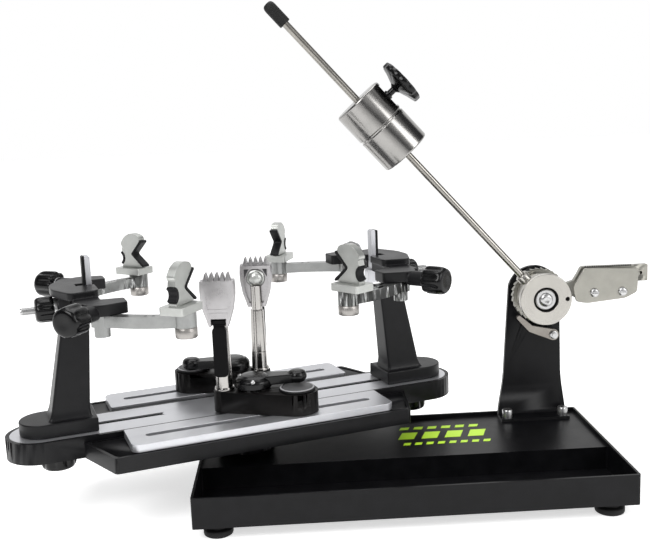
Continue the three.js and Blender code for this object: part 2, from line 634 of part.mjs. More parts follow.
function jawPadShape() {
  const mouth = scaled(jawMouthShares, jaw.depth, jaw.height);
  const near = mouth.map(([x, z]) => [x + pad.gap, Math.max(z, pad.lift)]);
  const far = mouth.map(([x, z]) => [x + pad.gap + pad.thickness, Math.max(z, pad.lift)]).reverse();
  const front = plate([...near, ...far].reverse(), -pad.half, pad.half);
  return upright(front).translate(0, 0, jawTop);
}

// String clamp: everything is drawn from the slider's axis, then turned half round for the rear one
function buildClamp(group, clamp) {
  const tag = clamp.name;
  const inner = new THREE.Group();
  inner.position.set(clamp.side * slider.along, -clamp.side * railMiddle, 0);
  if (clamp.side < 0) inner.rotation.z = Math.PI;
  group.add(inner);
  named(inner, `${tag}_clamp_slider`, sliderShape(), plastic());
  named(inner, `${tag}_clamp_base`, clampBaseShape(), castBlack());
  named(inner, `${tag}_lock_lever`, lockLeverShape(), plastic());
  const atPost = (geometry) => geometry.rotateZ(degrees(clampBase.headTurn))
    .translate(-clampBase.postBack, clampBase.postAside, 0);
  named(inner, `${tag}_clamp_post`, atPost(clampPostShape()), chrome());
  named(inner, `${tag}_clamp_rear_jaw`, atPost(rearJawShape()), greyMetal());
  named(inner, `${tag}_clamp_front_jaw`, atPost(frontJawShape()), greyMetal());
  named(inner, `${tag}_clamp_lever`, atPost(clampLeverShape()), plastic());
}

function sliderShape() {
  const { coreRadius, capRadius, capBottom, capTop, shankRadius, nutRadius, nutBottom, nutTop } = slider;
  return turnedProfile([[0, nutBottom], [nutRadius, nutBottom], [nutRadius, nutTop], [shankRadius, nutTop],
    [shankRadius, clampFloor], [coreRadius, clampFloor], [coreRadius, capBottom], [capRadius, capBottom],
    [capRadius, capTop], [0, capTop]], flats.disc);
}

function clampBaseShape() {
  const { top, endRadius, postBack, postAside, sleeveRadius, sleeveTop, leverBack, leverAside } = clampBase;
  const body = plate(link(endRadius, sleeveRadius, -postBack, postAside), clampFloor, top);
  const sleeve = round(sleeveRadius, clampFloor, sleeveTop, flats.shaft, -postBack, postAside);
  const boss = round(clampBase.leverBossRadius, top - overrun, clampBase.leverBossTop, flats.shaft, -leverBack, leverAside);
  const coreHole = round(slider.coreRadius + runGap, clampFloor - overrun, top + overrun, flats.disc);
  const postHole = round(clampPost.pinRadius + runGap, clampBase.postHoleBottom, sleeveTop + overrun, flats.shaft,
    -postBack, postAside);
  return cut(join(body, sleeve, boss), coreHole, postHole);
}

function lockLeverShape() {
  const { bottom, thickness, half, rootHalf, bulbRadius, bulbBottom, bulbTop, reachAhead, reachAside } = lockLever;
  const [x, y] = [reachAhead + clampBase.leverBack, reachAside - clampBase.leverAside];
  const low = clampBase.leverBossTop + seatGap;
  const hub = turnedProfile([[0, low], [lockLever.hubRadius, low], [lockLever.hubRadius, lockLever.hubWaist],
    [lockLever.hubTopRadius, lockLever.hubTop], [0, lockLever.hubTop]], flats.disc);
  const handle = plate(link(rootHalf, half, x, y), bottom, bottom + thickness);
  const middle = (bulbBottom + bulbTop) / 2;
  const bulb = turnedProfile([[0, bulbBottom], [bulbRadius * knobTipShare, bulbBottom], [bulbRadius, middle],
    [bulbRadius * knobTipShare, bulbTop], [0, bulbTop]]).translate(x, y, 0);
  return join(hub, handle, bulb).translate(-clampBase.leverBack, clampBase.leverAside, 0);
}

function clampPostShape() {
  const { pinRadius, collarRadius, collarTop, footRadius, neckRadius, neckHeight, top } = clampPost;
  const low = clampBase.postHoleBottom + seatGap;
  const seat = clampBase.sleeveTop + seatGap;
  const stem = turnedProfile([[0, low], [pinRadius, low], [pinRadius, seat], [collarRadius, seat],
    [collarRadius, collarTop], [footRadius, collarTop], [neckRadius, neckHeight], [neckRadius, top], [0, top]]);
  const reach = clampPost.domeDepth;
  const face = clampHead.postOffset - clampHead.jawGap / 2 - clampHead.jawThickness;
  const dome = alongY(turnedProfile([[0, 0], [clampPost.domeRadius, 0],
    [clampPost.domeRadius * knobShoulderShare, reach / 2], [0, reach]]));
  return join(stem, dome.translate(0, -face + seatGap, clampPost.domeHeight));
}

function shieldOutline() {
  const right = scaled(shieldShares, clampHead.half, clampHead.height);
  const left = right.map(([x, z]) => [-x, z]).reverse();
  return [...right, ...teethOutline(), ...left];
}

function teethOutline() {
  const pitch = clampHead.toothSpan / clampHead.teeth;
  const points = [];
  for (let i = clampHead.teeth - 1; i >= 0; i -= 1) {
    const x = (i - (clampHead.teeth - 1) / 2) * pitch;
    const tall = clampHead.height + clampHead.toothHeight;
    points.push([x + pitch * toothRootShare, clampHead.height], [x + pitch * toothTipShare, tall],
      [x - pitch * toothTipShare, tall], [x - pitch * toothRootShare, clampHead.height]);
  }
  return points;
}

// The shield's outline stands across the clamp; y runs from the post towards the lever side
function shield(y0, y1) {
  const sheet = upright(plate(shieldOutline(), 0, y1 - y0));
  return sheet.translate(0, -y0, clampHead.bottom);
}

function rearJawShape() {
  const front = clampHead.postOffset - clampHead.jawGap / 2;
  const back = front - clampHead.jawThickness;
  const { flangeInner, flangeOuter, flangeDepth, flangeBottom, flangeTop } = clampHead;
  const flanges = [-1, 1].map((side) => {
    const [x0, x1] = [side * flangeInner, side * flangeOuter].sort((a, b) => a - b);
    const flange = block(x0, x1, -back - overrun, -back + flangeDepth, flangeBottom, flangeTop);
    return common(flange, shield(back - flangeDepth, back + overrun));
  });
  const groove = round(clampPost.neckRadius + clampHead.grooveClear, clampHead.bottom - overrun, clampPost.top + seatGap);
  const guide = guidePin(clampHead.guideRadius, front + clampHead.jawGap + clampHead.guideReach, front - overrun);
  return cut(join(shield(back, front), ...flanges, guide), groove);
}

// The pin on the rear jaw that the front jaw slides on
function guidePin(radius, far, near) {
  return alongY(round(radius, -far, -near, flats.small)).translate(0, 0, clampHead.guideHeight);
}

function frontJawShape() {
  const back = clampHead.postOffset + clampHead.jawGap / 2;
  const front = back + clampHead.jawThickness;
  const slot = block(-clampLever.slotHalf, clampLever.slotHalf, -front - overrun, -back + overrun,
    clampHead.bottom - overrun, clampHead.bottom + clampLever.slotRise);
  const reach = clampHead.guideReach + clampHead.closing + seatGap;
  return cut(shield(back, front), slot, guidePin(clampHead.guideRadius + runGap, back + reach, back - overrun));
}

// Lever hung from a hinge in the front jaw's slot
function clampLeverShape() {
  const back = clampHead.postOffset + clampHead.jawGap / 2;
  const middle = back + clampHead.jawThickness / 2;
  const top = clampHead.bottom + clampLever.hingeRise;
  const knuckle = alongX(round(clampLever.hingeRadius, -clampLever.half, clampLever.half, flats.small))
    .translate(0, -middle, top);
  const neck = block(-clampLever.neckHalf, clampLever.neckHalf, -middle - clampLever.hingeRadius / 2,
    -middle + clampLever.hingeRadius / 2, clampHead.bottom - overrun, top);
  const halfThick = clampLever.thickness / 2;
  const handle = block(-clampLever.half, clampLever.half, -middle - halfThick, -middle + halfThick,
    clampHead.bottom - clampLever.drop, clampHead.bottom - seatGap);
  return join(knuckle, neck, handle);
}

// Drum side, in a frame on the shaft: X and Z as in the world, Y along the shaft
function buildDrum(group) {
  const inner = new THREE.Group();
  inner.position.set(drum.x, 0, drum.z);
  group.add(inner);
  const hole = (y0, y1) => alongY(round(drum.shaftRadius + runGap, y0 - overrun, y1 + overrun));
  const discBack = drum.front + drum.disc;
  const disc = alongY(round(drum.discRadius, drum.front, discBack, flats.disc));
  const recess = alongY(round(drum.recessRadius, drum.front - overrun, drum.front + drum.recessDepth, flats.disc));
  const mark = alongY(round(drum.markRadius, drum.front - overrun, drum.front + drum.markDepth, flats.small))
    .translate(drum.markAt, 0, 0);
  named(inner, "drum_flange", cut(disc, recess, mark, hole(drum.front, discBack)), chrome());
  named(inner, "ratchet_wheel", ratchetShape(hole(ratchet.from, ratchet.to)), silver());
  buildRodSide(inner, hole(rodHub.from, rodHub.to));
  buildGripper(inner, hole(gripper.backFrom, gripper.backFrom + gripper.backPlate));
  named(inner, "ratchet_pawl", pawlShape(), silver());
}

function ratchetShape(hole) {
  const points = [];
  for (let i = 0; i < ratchet.teeth; i += 1) {
    const from = (2 * Math.PI * i) / ratchet.teeth;
    const to = (2 * Math.PI * (i + 1)) / ratchet.teeth;
    points.push([ratchet.tipRadius * Math.cos(from), ratchet.tipRadius * Math.sin(from)]);
    points.push([ratchet.rootRadius * Math.cos(to - weldAngle), ratchet.rootRadius * Math.sin(to - weldAngle)]);
  }
  const wheel = alongY(plate(points, ratchet.from, ratchet.wheelTo + overrun));
  const disc = alongY(round(ratchet.discRadius, ratchet.wheelTo, ratchet.to, flats.disc));
  return cut(join(wheel, disc), hole);
}

const weldAngle = 0.01;

// Everything along the rod is drawn along +X, then leaned back by the rod's angle
const onRod = (geometry) => alongX(geometry).rotateY(-degrees(rod.angle)).translate(0, (rodHub.from + rodHub.to) / 2, 0);

function buildRodSide(group, hole) {
  const body = alongY(round(rodHub.radius, rodHub.from, rodHub.to, flats.disc));
  const socket = onRod(round(rodHub.socketRadius - seatGap, rod.start, rodHub.socketReach, flats.shaft));
  const bore = onRod(round(rod.radius + seatGap, rod.start - seatGap, rodHub.socketReach + overrun, flats.small));
  named(group, "rod_hub", cut(join(body, socket), hole, bore), silver());
  named(group, "tension_rod", onRod(round(rod.radius, rod.start, rod.end, flats.small)), chrome());
  const cap = turnedProfile([[0, rod.capFrom], [rod.capRadius, rod.capFrom], [rod.capRadius, rod.capEnd - rod.capRadius / 2],
    [rod.capRadius * knobTipShare, rod.capEnd], [0, rod.capEnd]]);
  const capBore = round(rod.radius + seatGap, rod.capFrom - overrun, rod.end + seatGap, flats.small);
  named(group, "rod_cap", onRod(cut(cap, capBore)), rubber());
  buildWeights(group);
}

// Two thick discs screwed together, with a V groove where they meet
function weightShape() {
  const { radius, chamfer, start, middle, end, seam } = weights;
  const body = turnedProfile([[0, start], [radius - chamfer, start], [radius, start + chamfer],
    [radius, middle - seam], [radius - seam, middle], [radius, middle + seam], [radius, end - chamfer],
    [radius - chamfer, end], [0, end]], flats.disc);
  return cut(body, round(rod.radius + seatGap, start - overrun, end + overrun, flats.small));
}

// The lock knob's axis stands square to the rod, on the upper weight's flat
function acrossRod(geometry) {
  return geometry.rotateY(Math.PI / 2).translate(0, 0, weights.knobAt);
}

function buildWeights(group) {
  const { radius, flatDepth, flatHalf, knobAt, lockDepth } = weights;
  const flat = block(radius - flatDepth, radius + overrun, -radius, radius, knobAt - flatHalf, knobAt + flatHalf);
  const lockHole = acrossRod(round(weights.lockHoleRadius, radius - lockDepth, radius + overrun, flats.small));
  named(group, "drop_weight", onRod(cut(weightShape(), flat, lockHole)), chrome());
  const { from, height, stemRadius, neckRadius, neckFrom, tip } = weightKnob;
  const stem = round(stemRadius, tip, from + overrun, flats.small);
  const neck = turnedProfile([[0, neckFrom], [neckRadius, neckFrom], [neckRadius, from - overrun],
    [neckRadius + overrun, from + overrun], [0, from + overrun]]);
  const grip = flutedKnob(weightKnob.radius, from, from + height);
  named(group, "weight_knob", onRod(acrossRod(join(stem, neck, grip))), plastic());
}

// Gripper plates: drawn in the world, then moved into the shaft's frame
function gripperPlate(shares, y0, y1) {
  const wide = gripper.right - gripper.left;
  const tall = gripper.top - gripper.bottom;
  const points = scaled(shares, wide, tall).map(([x, z]) => [x + gripper.left - drum.x, z + gripper.bottom - drum.z]);
  return upright(plate(points.reverse(), 0, y1 - y0)).translate(0, y1, 0);
}

function buildGripper(group, hole) {
  const backEnd = gripper.backFrom + gripper.backPlate;
  const frontEnd = gripper.front + gripper.frontPlate;
  const ring = alongY(round(gripper.tailRadius, gripper.backFrom, backEnd, flats.disc));
  const tailX = gripper.tailEndX - drum.x;
  const tailZ = gripper.tailEndZ - drum.z;
  const tail = upright(plate(link(gripper.tailHalf, gripper.tailHalf, tailX, tailZ), 0, gripper.backPlate))
    .translate(0, backEnd, 0);
  const tab = block(gripper.tabLeft - drum.x, gripper.tabRight - drum.x, gripper.backFrom, backEnd,
    gripper.tabBottom - drum.z, gripper.tabTop - drum.z);
  const place = (x) => [x - drum.x, gripper.screwZ - drum.z];
  const bores = (radius, y0, y1) => gripperScrews.map((x) => alongY(round(radius, y0 - overrun, y1 + overrun, flats.small))
    .translate(place(x)[0], 0, place(x)[1]));
  const back = join(gripperPlate(gripperBackShares, gripper.backFrom, backEnd), ring, tail, tab,
    ...gripperScrews.map(gripperScrewShape));
  const clearance = gripper.screwRadius + seatGap;
  named(group, "gripper_rear_plate", cut(back, hole), silver());
  const front = gripperPlate(gripperFrontShares, gripper.front, frontEnd);
  named(group, "gripper_front_plate", cut(front, ...bores(clearance, gripper.front, frontEnd)), silver());
}

// Screws that hold the rear plate and carry the front one
function gripperScrewShape(x) {
  const low = gripper.front - seatGap;
  const profile = [[0, low - gripper.screwHeadHeight], [gripper.screwHead, low - gripper.screwHeadHeight],
    [gripper.screwHead, low], [gripper.screwRadius, low], [gripper.screwRadius, gripper.backFrom + overrun],
    [0, gripper.backFrom + overrun]];
  return alongY(turnedProfile(profile, flats.small)).translate(x - drum.x, 0, gripper.screwZ - drum.z);
}

function pawlShape() {
  const [x0, z0] = [pawl.x - drum.x, pawl.z - drum.z];
  const elbow = [pawl.elbowX - pawl.x, pawl.elbowZ - pawl.z];
  const root = plate(link(pawl.hubRadius, pawl.elbowHalf, elbow[0], elbow[1]), 0, pawl.thickness);
  const hook = plate(link(pawl.elbowHalf, pawl.half, pawl.tipX - pawl.elbowX, pawl.tipZ - pawl.elbowZ), 0, pawl.thickness);
  const lever = upright(join(root, hook.translate(elbow[0], elbow[1], 0)))
    .translate(x0, pawl.from + pawl.thickness, z0);
  const hole = alongY(round(pawl.holeRadius, pawl.from - overrun, pawl.from + pawl.thickness + overrun, flats.small))
    .translate(x0, 0, z0);
  return cut(lever, hole);
}

// The whole machine, moved so that its footprint's middle is the origin
function buildMachine() {
  const model = new THREE.Group();
  buildBase(model);
  buildTensionPost(model);
  const table = new THREE.Group();
  table.position.set(pivot.x, pivot.y, 0);
  table.rotation.z = degrees(pivot.turn);
  model.add(table);
  buildTurntable(table);
  for (const tower of towerSet) buildTower(table, tower);
  for (const clamp of clampSet) buildClamp(table, clamp);
  buildDrum(model);
  const whole = new THREE.Group();
  whole.add(model);
  const box = new THREE.Box3().setFromObject(model, true);
  model.position.set(-(box.min.x + box.max.x) / 2, -(box.min.y + box.max.y) / 2, -box.min.z);
  whole.updateMatrixWorld(true);
  return whole;
}

export default buildMachine();
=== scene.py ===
"""Looks of a table-top racket stringing machine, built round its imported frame.

Shapes are drawn in millimetres in each sub-assembly's own frame and placed in metres. +Z is up.
"""

import json
import logging
import math
from dataclasses import dataclass
from enum import Enum
from typing import Optional, Sequence

import bmesh
import bpy
from mathutils import Matrix, Vector


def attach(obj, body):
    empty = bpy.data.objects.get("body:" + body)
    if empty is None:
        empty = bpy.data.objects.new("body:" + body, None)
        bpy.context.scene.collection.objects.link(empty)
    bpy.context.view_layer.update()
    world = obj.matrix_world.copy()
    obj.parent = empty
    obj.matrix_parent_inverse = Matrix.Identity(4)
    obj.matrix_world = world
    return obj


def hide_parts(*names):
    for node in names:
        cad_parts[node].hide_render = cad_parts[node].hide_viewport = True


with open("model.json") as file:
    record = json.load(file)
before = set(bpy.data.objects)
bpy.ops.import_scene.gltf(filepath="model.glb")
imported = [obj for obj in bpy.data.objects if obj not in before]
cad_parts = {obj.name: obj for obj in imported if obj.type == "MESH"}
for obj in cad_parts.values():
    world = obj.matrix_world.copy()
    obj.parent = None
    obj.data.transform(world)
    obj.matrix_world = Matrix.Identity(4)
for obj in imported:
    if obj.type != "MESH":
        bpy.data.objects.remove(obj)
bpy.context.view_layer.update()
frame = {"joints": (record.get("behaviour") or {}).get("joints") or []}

log = logging.getLogger("stringing_machine")

# Lengths are millimetres and angles are degrees, unless a comment says otherwise
MM = 0.001
DRAWN = "drawn"
WELD = 0.0005
ON_AXIS = 1e-6
OVERRUN = 2.0
BORE = 8.3
CORNER_SHARE = 0.45
FLAT_ANGLE = 0.4
SHARP_ANGLE = 42.0
Point = tuple[float, float]


# Places


def at(x: float = 0.0, y: float = 0.0, z: float = 0.0) -> Matrix:
    """A move by x, y and z."""
    return Matrix.Translation((x, y, z))


def about(axis: str, angle: float) -> Matrix:
    """A turn about a named axis, in degrees."""
    return Matrix.Rotation(math.radians(angle), 4, axis)


def joint_place(name: str) -> Vector:
    """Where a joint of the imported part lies, in millimetres."""
    row = next(j for j in frame["joints"] if j["name"] == name)
    return Vector(row["pos_m"]) / MM


PIVOT = (-203.0, 55.0)
TABLE_TURN = 19.2
SHAFT = (200.8, 225.6)
ROD_LEAN = -41.7
ROD_DEPTH = 83.25
PAWL_STUD = (220.8, 169.0)
SIDES = (("left", -1), ("right", 1))
ENDS = (("front", -1), ("rear", 1))
SPIN = joint_place("turntable_spin")
BASE = Matrix.Scale(MM, 4) @ at(SPIN.x - PIVOT[0], SPIN.y - PIVOT[1])
TABLE = BASE @ at(*PIVOT) @ about("Z", TABLE_TURN)
DRUM = BASE @ at(SHAFT[0], 0, SHAFT[1])
ROD = DRUM @ at(0, ROD_DEPTH, 0) @ about("Y", ROD_LEAN)
ALONG_X = about("Y", 90)
ALONG_Y = about("X", -90)
UPRIGHT = about("X", 90)


def from_shaft(x: float, z: float) -> Point:
    """A place in the base's frame as it lies from the drum's shaft."""
    return x - SHAFT[0], z - SHAFT[1]


# Outlines


def mix(first: float, second: float, share: float) -> float:
    """The value that lies a share of the way from the first to the second."""
    return first + (second - first) * share


def arc(
    radius: float, x: float = 0.0, y: float = 0.0, start: float = 0.0, end: float = 360.0, steps: int = 48
) -> list[Point]:
    """Points along an arc, both ends included.

    Args:
        radius: Radius in millimetres.
        x: Centre across.
        y: Centre up.
        start: First angle in degrees.
        end: Last angle in degrees.
        steps: How many straight steps stand for the arc.

    Returns:
        The points in order.
    """
    angles = [math.radians(start + (end - start) * i / steps) for i in range(steps + 1)]
    return [(x + radius * math.cos(a), y + radius * math.sin(a)) for a in angles]


def circle(radius: float, x: float = 0.0, y: float = 0.0, steps: int = 64) -> list[Point]:
    """A closed circle."""
    return arc(radius, x, y, steps=steps)[:-1]


def stadium(half: float, x0: float, x1: float, y: float = 0.0, steps: int = 32) -> list[Point]:
    """A slot's outline whose round ends have their centres at x0 and x1."""
    return arc(half, x1, y, -90, 90, steps) + arc(half, x0, y, 90, 270, steps)


def link(r0: float, r1: float, x1: float, y1: float) -> list[Point]:
    """Two circles, one at the origin, and the straight sides that touch both.

    Args:
        r0: Radius round the origin.
        r1: Radius of the other circle.
        x1: Its centre across.
        y1: Its centre up.

    Returns:
        The outline.
    """
    span = math.hypot(x1, y1)
    heading = math.degrees(math.atan2(y1, x1))
    opening = 90 - math.degrees(math.asin((r0 - r1) / span))
    near = arc(r0, 0, 0, heading + opening, heading + 360 - opening, 40)
    return near + arc(r1, x1, y1, heading - opening, heading + opening, 40)


def softened(points: Sequence[Point], reach: float, steps: int = 6) -> list[Point]:
    """Rounds every corner of a closed outline.

    Args:
        points: The outline's corners.
        reach: How far from a corner its rounding starts, at most.
        steps: Straight steps in each rounding.

    Returns:
        The rounded outline.
    """
    rounded: list[Point] = []
    count = len(points)
    for i, corner in enumerate(points):
        here = Vector(corner)
        before, after = Vector(points[i - 1]), Vector(points[(i + 1) % count])
        start, end = (
            here + (other - here).normalized() * min(reach, (other - here).length * CORNER_SHARE)
            for other in (before, after)
        )
        for k in range(steps + 1):
            t = k / steps
            p = start * (1 - t) ** 2 + here * 2 * t * (1 - t) + end * t * t
            rounded.append((p.x, p.y))
    return rounded


def rectangle(x0: float, x1: float, y0: float, y1: float) -> list[Point]:
    """A rectangle's corners."""
    return [(x0, y0), (x1, y0), (x1, y1), (x0, y1)]


def scaled(shares: Sequence[Point], wide: float, tall: float, x: float = 0.0, y: float = 0.0) -> list[Point]:
    """Shares of a width and a height as millimetres from x and y."""
    return [(x + sx * wide, y + sy * tall) for sx, sy in shares]


def bends_left(a: Point, b: Point, c: Point) -> bool:
    """Whether a path through three points turns to the left at the middle one."""
    return (b[0] - a[0]) * (c[1] - a[1]) > (b[1] - a[1]) * (c[0] - a[0])


def hull(points: Sequence[Point]) -> list[Point]:
    """The tight outline round a set of points.

    Args:
        points: The points, in any order.

    Returns:
        The outline, anticlockwise.
    """
    order = sorted(set(points))
    sides: list[list[Point]] = []
    for run in (order, order[::-1]):
        side: list[Point] = []
        for p in run:
            while len(side) > 1 and not bends_left(side[-2], side[-1], p):
                side.pop()
            side.append(p)
        sides.append(side[:-1])
    return sides[0] + sides[1]


# Shapes


def scratch_object(bm: bmesh.types.BMesh) -> bpy.types.Object:
    """An object that holds a shape while modifiers work on it.

    Args:
        bm: The shape.

    Returns:
        The new object.
    """
    mesh = bpy.data.meshes.new("scratch")
    bm.to_mesh(mesh)
    mesh.shade_smooth()
    holder = bpy.data.objects.new("scratch", mesh)
    bpy.context.scene.collection.objects.link(holder)
    return holder


def drop(*holders: bpy.types.Object) -> None:
    """Deletes objects and their meshes.

    Args:
        *holders: The objects.
    """
    for holder in holders:
        mesh = holder.data
        bpy.data.objects.remove(holder)
        bpy.data.meshes.remove(mesh)


def evaluated_mesh(holder: bpy.types.Object) -> bpy.types.Mesh:
    """The mesh of an object after its modifiers."""
    graph = bpy.context.evaluated_depsgraph_get()
    return bpy.data.meshes.new_from_object(holder.evaluated_get(graph))


class Form:
    """A closed shape in millimetres."""

    def __init__(self, bm: bmesh.types.BMesh) -> None:
        """Keeps the mesh."""
        self.bm = bm

    @classmethod
    def of_faces(cls, corners: Sequence[Sequence[float]], faces: Sequence[Sequence[int]]) -> "Form":
        """A shape from its corners and faces, turned to point outwards.

        Args:
            corners: The corners' places.
            faces: Each face's corners by number.

        Returns:
            The form.
        """
        bm = bmesh.new()
        verts = [bm.verts.new(corner) for corner in corners]
        for face in faces:
            bm.faces.new([verts[i] for i in face])
        bmesh.ops.recalc_face_normals(bm, faces=bm.faces[:])
        return cls(bm)

    @classmethod
    def prism(
        cls, outline: Sequence[Point], low: float, high: float, holes: Sequence[Sequence[Point]] = ()
    ) -> "Form":
        """An outline raised from low to high, with holes that go right through.

        Args:
            outline: The outer outline.
            low: Height of the lower face.
            high: Height of the upper face.
            holes: Outlines of the holes.

        Returns:
            The form.
        """
        loops = [list(outline), *[list(hole) for hole in holes]]
        flat = [point for loop in loops for point in loop]
        total = len(flat)
        caps = [list(range(total))] if not holes else cls._filled(loops)
        faces = [list(reversed(cap)) for cap in caps] + [[i + total for i in cap] for cap in caps]
        start = 0
        for loop in loops:
            for i in range(len(loop)):
                a, b = start + i, start + (i + 1) % len(loop)
                faces.append([a, b, b + total, a + total])
            start += len(loop)
        return cls.of_faces([(x, y, low) for x, y in flat] + [(x, y, high) for x, y in flat], faces)

    @staticmethod
    def _filled(loops: Sequence[Sequence[Point]]) -> list[list[int]]:
        """Triangles between an outline and its holes.

        Args:
            loops: The outline and the holes.

        Returns:
            Each triangle's corners by number.
        """
        bm = bmesh.new()
        edges = []
        for loop in loops:
            verts = [bm.verts.new((x, y, 0)) for x, y in loop]
            edges += [bm.edges.new((a, b)) for a, b in zip(verts, verts[1:] + verts[:1])]
        bm.verts.index_update()
        bmesh.ops.triangle_fill(bm, use_beauty=True, edges=edges)
        bmesh.ops.recalc_face_normals(bm, faces=bm.faces[:])
        triangles = [[v.index for v in face.verts] for face in bm.faces]
        bm.free()
        return triangles

    @classmethod
    def block(cls, x0: float, x1: float, y0: float, y1: float, z0: float, z1: float) -> "Form":
        """A box between two corners."""
        return cls.prism(rectangle(x0, x1, y0, y1), z0, z1)

    @classmethod
    def round(
        cls, radius: float, low: float, high: float, x: float = 0.0, y: float = 0.0, steps: int = 64
    ) -> "Form":
        """An upright cylinder."""
        return cls.prism(circle(radius, x, y, steps), low, high)

    @classmethod
    def turned(cls, profile: Sequence[Point], steps: int = 96) -> "Form":
        """A profile of (radius, height) points turned about Z. It ends on the axis or closes on itself.

        Args:
            profile: The points.
            steps: Flat sides round the axis.

        Returns:
            The form.
        """
        corners: list[tuple[float, float, float]] = []
        rings: list[list[int]] = []
        for radius, height in profile:
            start = len(corners)
            if radius < ON_AXIS:
                corners.append((0, 0, height))
                rings.append([start] * steps)
                continue
            corners += [(x, y, height) for x, y in circle(radius, steps=steps)]
            rings.append(list(range(start, start + steps)))
        pairs = list(zip(rings, rings[1:]))
        if profile[0][0] > ON_AXIS:
            pairs.append((rings[-1], rings[0]))
        faces = []
        for low, high in pairs:
            for i in range(steps):
                j = (i + 1) % steps
                face = list(dict.fromkeys([low[i], low[j], high[j], high[i]]))
                if len(face) > 2:
                    faces.append(face)
        return cls.of_faces(corners, faces)

    @classmethod
    def lofted(cls, rings: Sequence[tuple[float, Sequence[Point]]]) -> "Form":
        """A skin over level rings, each a height and its outline, with flat ends.

        Args:
            rings: The rings from the bottom up, each with as many points as the first.

        Returns:
            The form.
        """
        count = len(rings[0][1])
        corners = [(x, y, height) for height, outline in rings for x, y in outline]
        faces = []
        for level in range(len(rings) - 1):
            for i in range(count):
                a, b = level * count + i, level * count + (i + 1) % count
                faces.append([a, b, b + count, a + count])
        last = (len(rings) - 1) * count
        faces += [list(reversed(range(count))), [last + i for i in range(count)]]
        return cls.of_faces(corners, faces)

    def copy(self) -> "Form":
        """A copy that can be changed by itself."""
        return Form(self.bm.copy())

    def placed(self, matrix: Matrix) -> "Form":
        """The shape moved by a matrix, still pointing outwards.

        Args:
            matrix: The move.

        Returns:
            The same form.
        """
        self.bm.transform(matrix)
        if matrix.determinant() < 0:
            bmesh.ops.reverse_faces(self.bm, faces=self.bm.faces[:])
        return self

    def moved(self, x: float = 0.0, y: float = 0.0, z: float = 0.0) -> "Form":
        """The shape moved along the axes."""
        return self.placed(at(x, y, z))

    def stood(self, y: float = 0.0, z: float = 0.0) -> "Form":
        """The shape stood upright, so that its outline faces the front, and moved."""
        return self.placed(at(0, y, z) @ UPRIGHT)

    def along_x(self, x: float = 0.0, y: float = 0.0, z: float = 0.0) -> "Form":
        """The shape with its upright axis laid along X, and moved."""
        return self.placed(at(x, y, z) @ ALONG_X)

    def along_y(self, x: float = 0.0, y: float = 0.0, z: float = 0.0) -> "Form":
        """The shape with its upright axis laid along Y, and moved."""
        return self.placed(at(x, y, z) @ ALONG_Y)

    def mirrored(self, sx: int, sy: int) -> "Form":
        """The shape mirrored where a sign is negative."""
        return self.placed(Matrix.Diagonal((sx, sy, 1, 1)))

    def along(self, *others: "Form") -> "Form":
        """The shape with others laid into the same mesh as they are.

        Args:
            *others: The forms to lay in.

        Returns:
            The same form.
        """
        for other in others:
            mesh = bpy.data.meshes.new("scratch")
            other.bm.to_mesh(mesh)
            self.bm.from_mesh(mesh)
            bpy.data.meshes.remove(mesh)
        return self

    def _combined(self, operation: str, others: Sequence["Form"]) -> "Form":
        """The shape after one Boolean for each of the others.

        Args:
            operation: The Boolean's name.
            others: The tools, in order.

        Returns:
            The same form.
        """
        subject = scratch_object(self.bm)
        tools = [scratch_object(other.bm) for other in others]
        for tool in tools:
            step = subject.modifiers.new("combine", "BOOLEAN")
            step.operation, step.solver, step.object = operation, "EXACT", tool
        return self.taken(subject, tools)

    def taken(self, subject: bpy.types.Object, tools: Sequence[bpy.types.Object] = ()) -> "Form":
        """Reads back what modifiers made of the shape.

        Args:
            subject: The object that held the shape.
            tools: Objects that its modifiers used.

        Returns:
            The same form with its new mesh.
        """
        mesh = evaluated_mesh(subject)
        self.bm = bmesh.new()
        self.bm.from_mesh(mesh)
        bpy.data.meshes.remove(mesh)
        drop(subject, *tools)
        return self

    def joined(self, *others: "Form") -> "Form":
        """The shape and others as one closed body."""
        return self._combined("UNION", others)

    def cut(self, *others: "Form") -> "Form":
        """The shape without what the others cover."""
        return self._combined("DIFFERENCE", others)

    def melted(self, voxel: float, rounds: int, keep: float) -> "Form":
        """The shape as a casting: one skin over all it holds, with softly rounded edges.

        Args:
            voxel: Size of the grid that the skin is made on.
            rounds: How often the skin is smoothed.
            keep: Share of the skin's faces that stay.

        Returns:
            The same form with its new mesh.
        """
        subject = scratch_object(self.bm)
        skin = subject.modifiers.new("skin", "REMESH")
        skin.mode, skin.voxel_size, skin.use_smooth_shade = "VOXEL", voxel, True
        smooth = subject.modifiers.new("smooth", "SMOOTH")
        smooth.factor, smooth.iterations = 0.5, rounds
        thin = subject.modifiers.new("thin", "DECIMATE")
        thin.ratio = keep
        return self.taken(subject)

    def tidied(self) -> "Form":
        """The shape without edges that part flat faces.

        Returns:
            The same form.
        """
        bmesh.ops.remove_doubles(self.bm, verts=self.bm.verts[:], dist=WELD)
        bmesh.ops.dissolve_limit(
            self.bm, angle_limit=math.radians(FLAT_ANGLE), use_dissolve_boundaries=False,
            verts=self.bm.verts[:], edges=self.bm.edges[:],
        )
        return self


@dataclass(frozen=True)
class Ease:
    """Rounding of a piece's edges: its width in millimetres, its steps and the least angle that it takes."""

    width: float
    steps: int = 3
    angle: float = 30.0


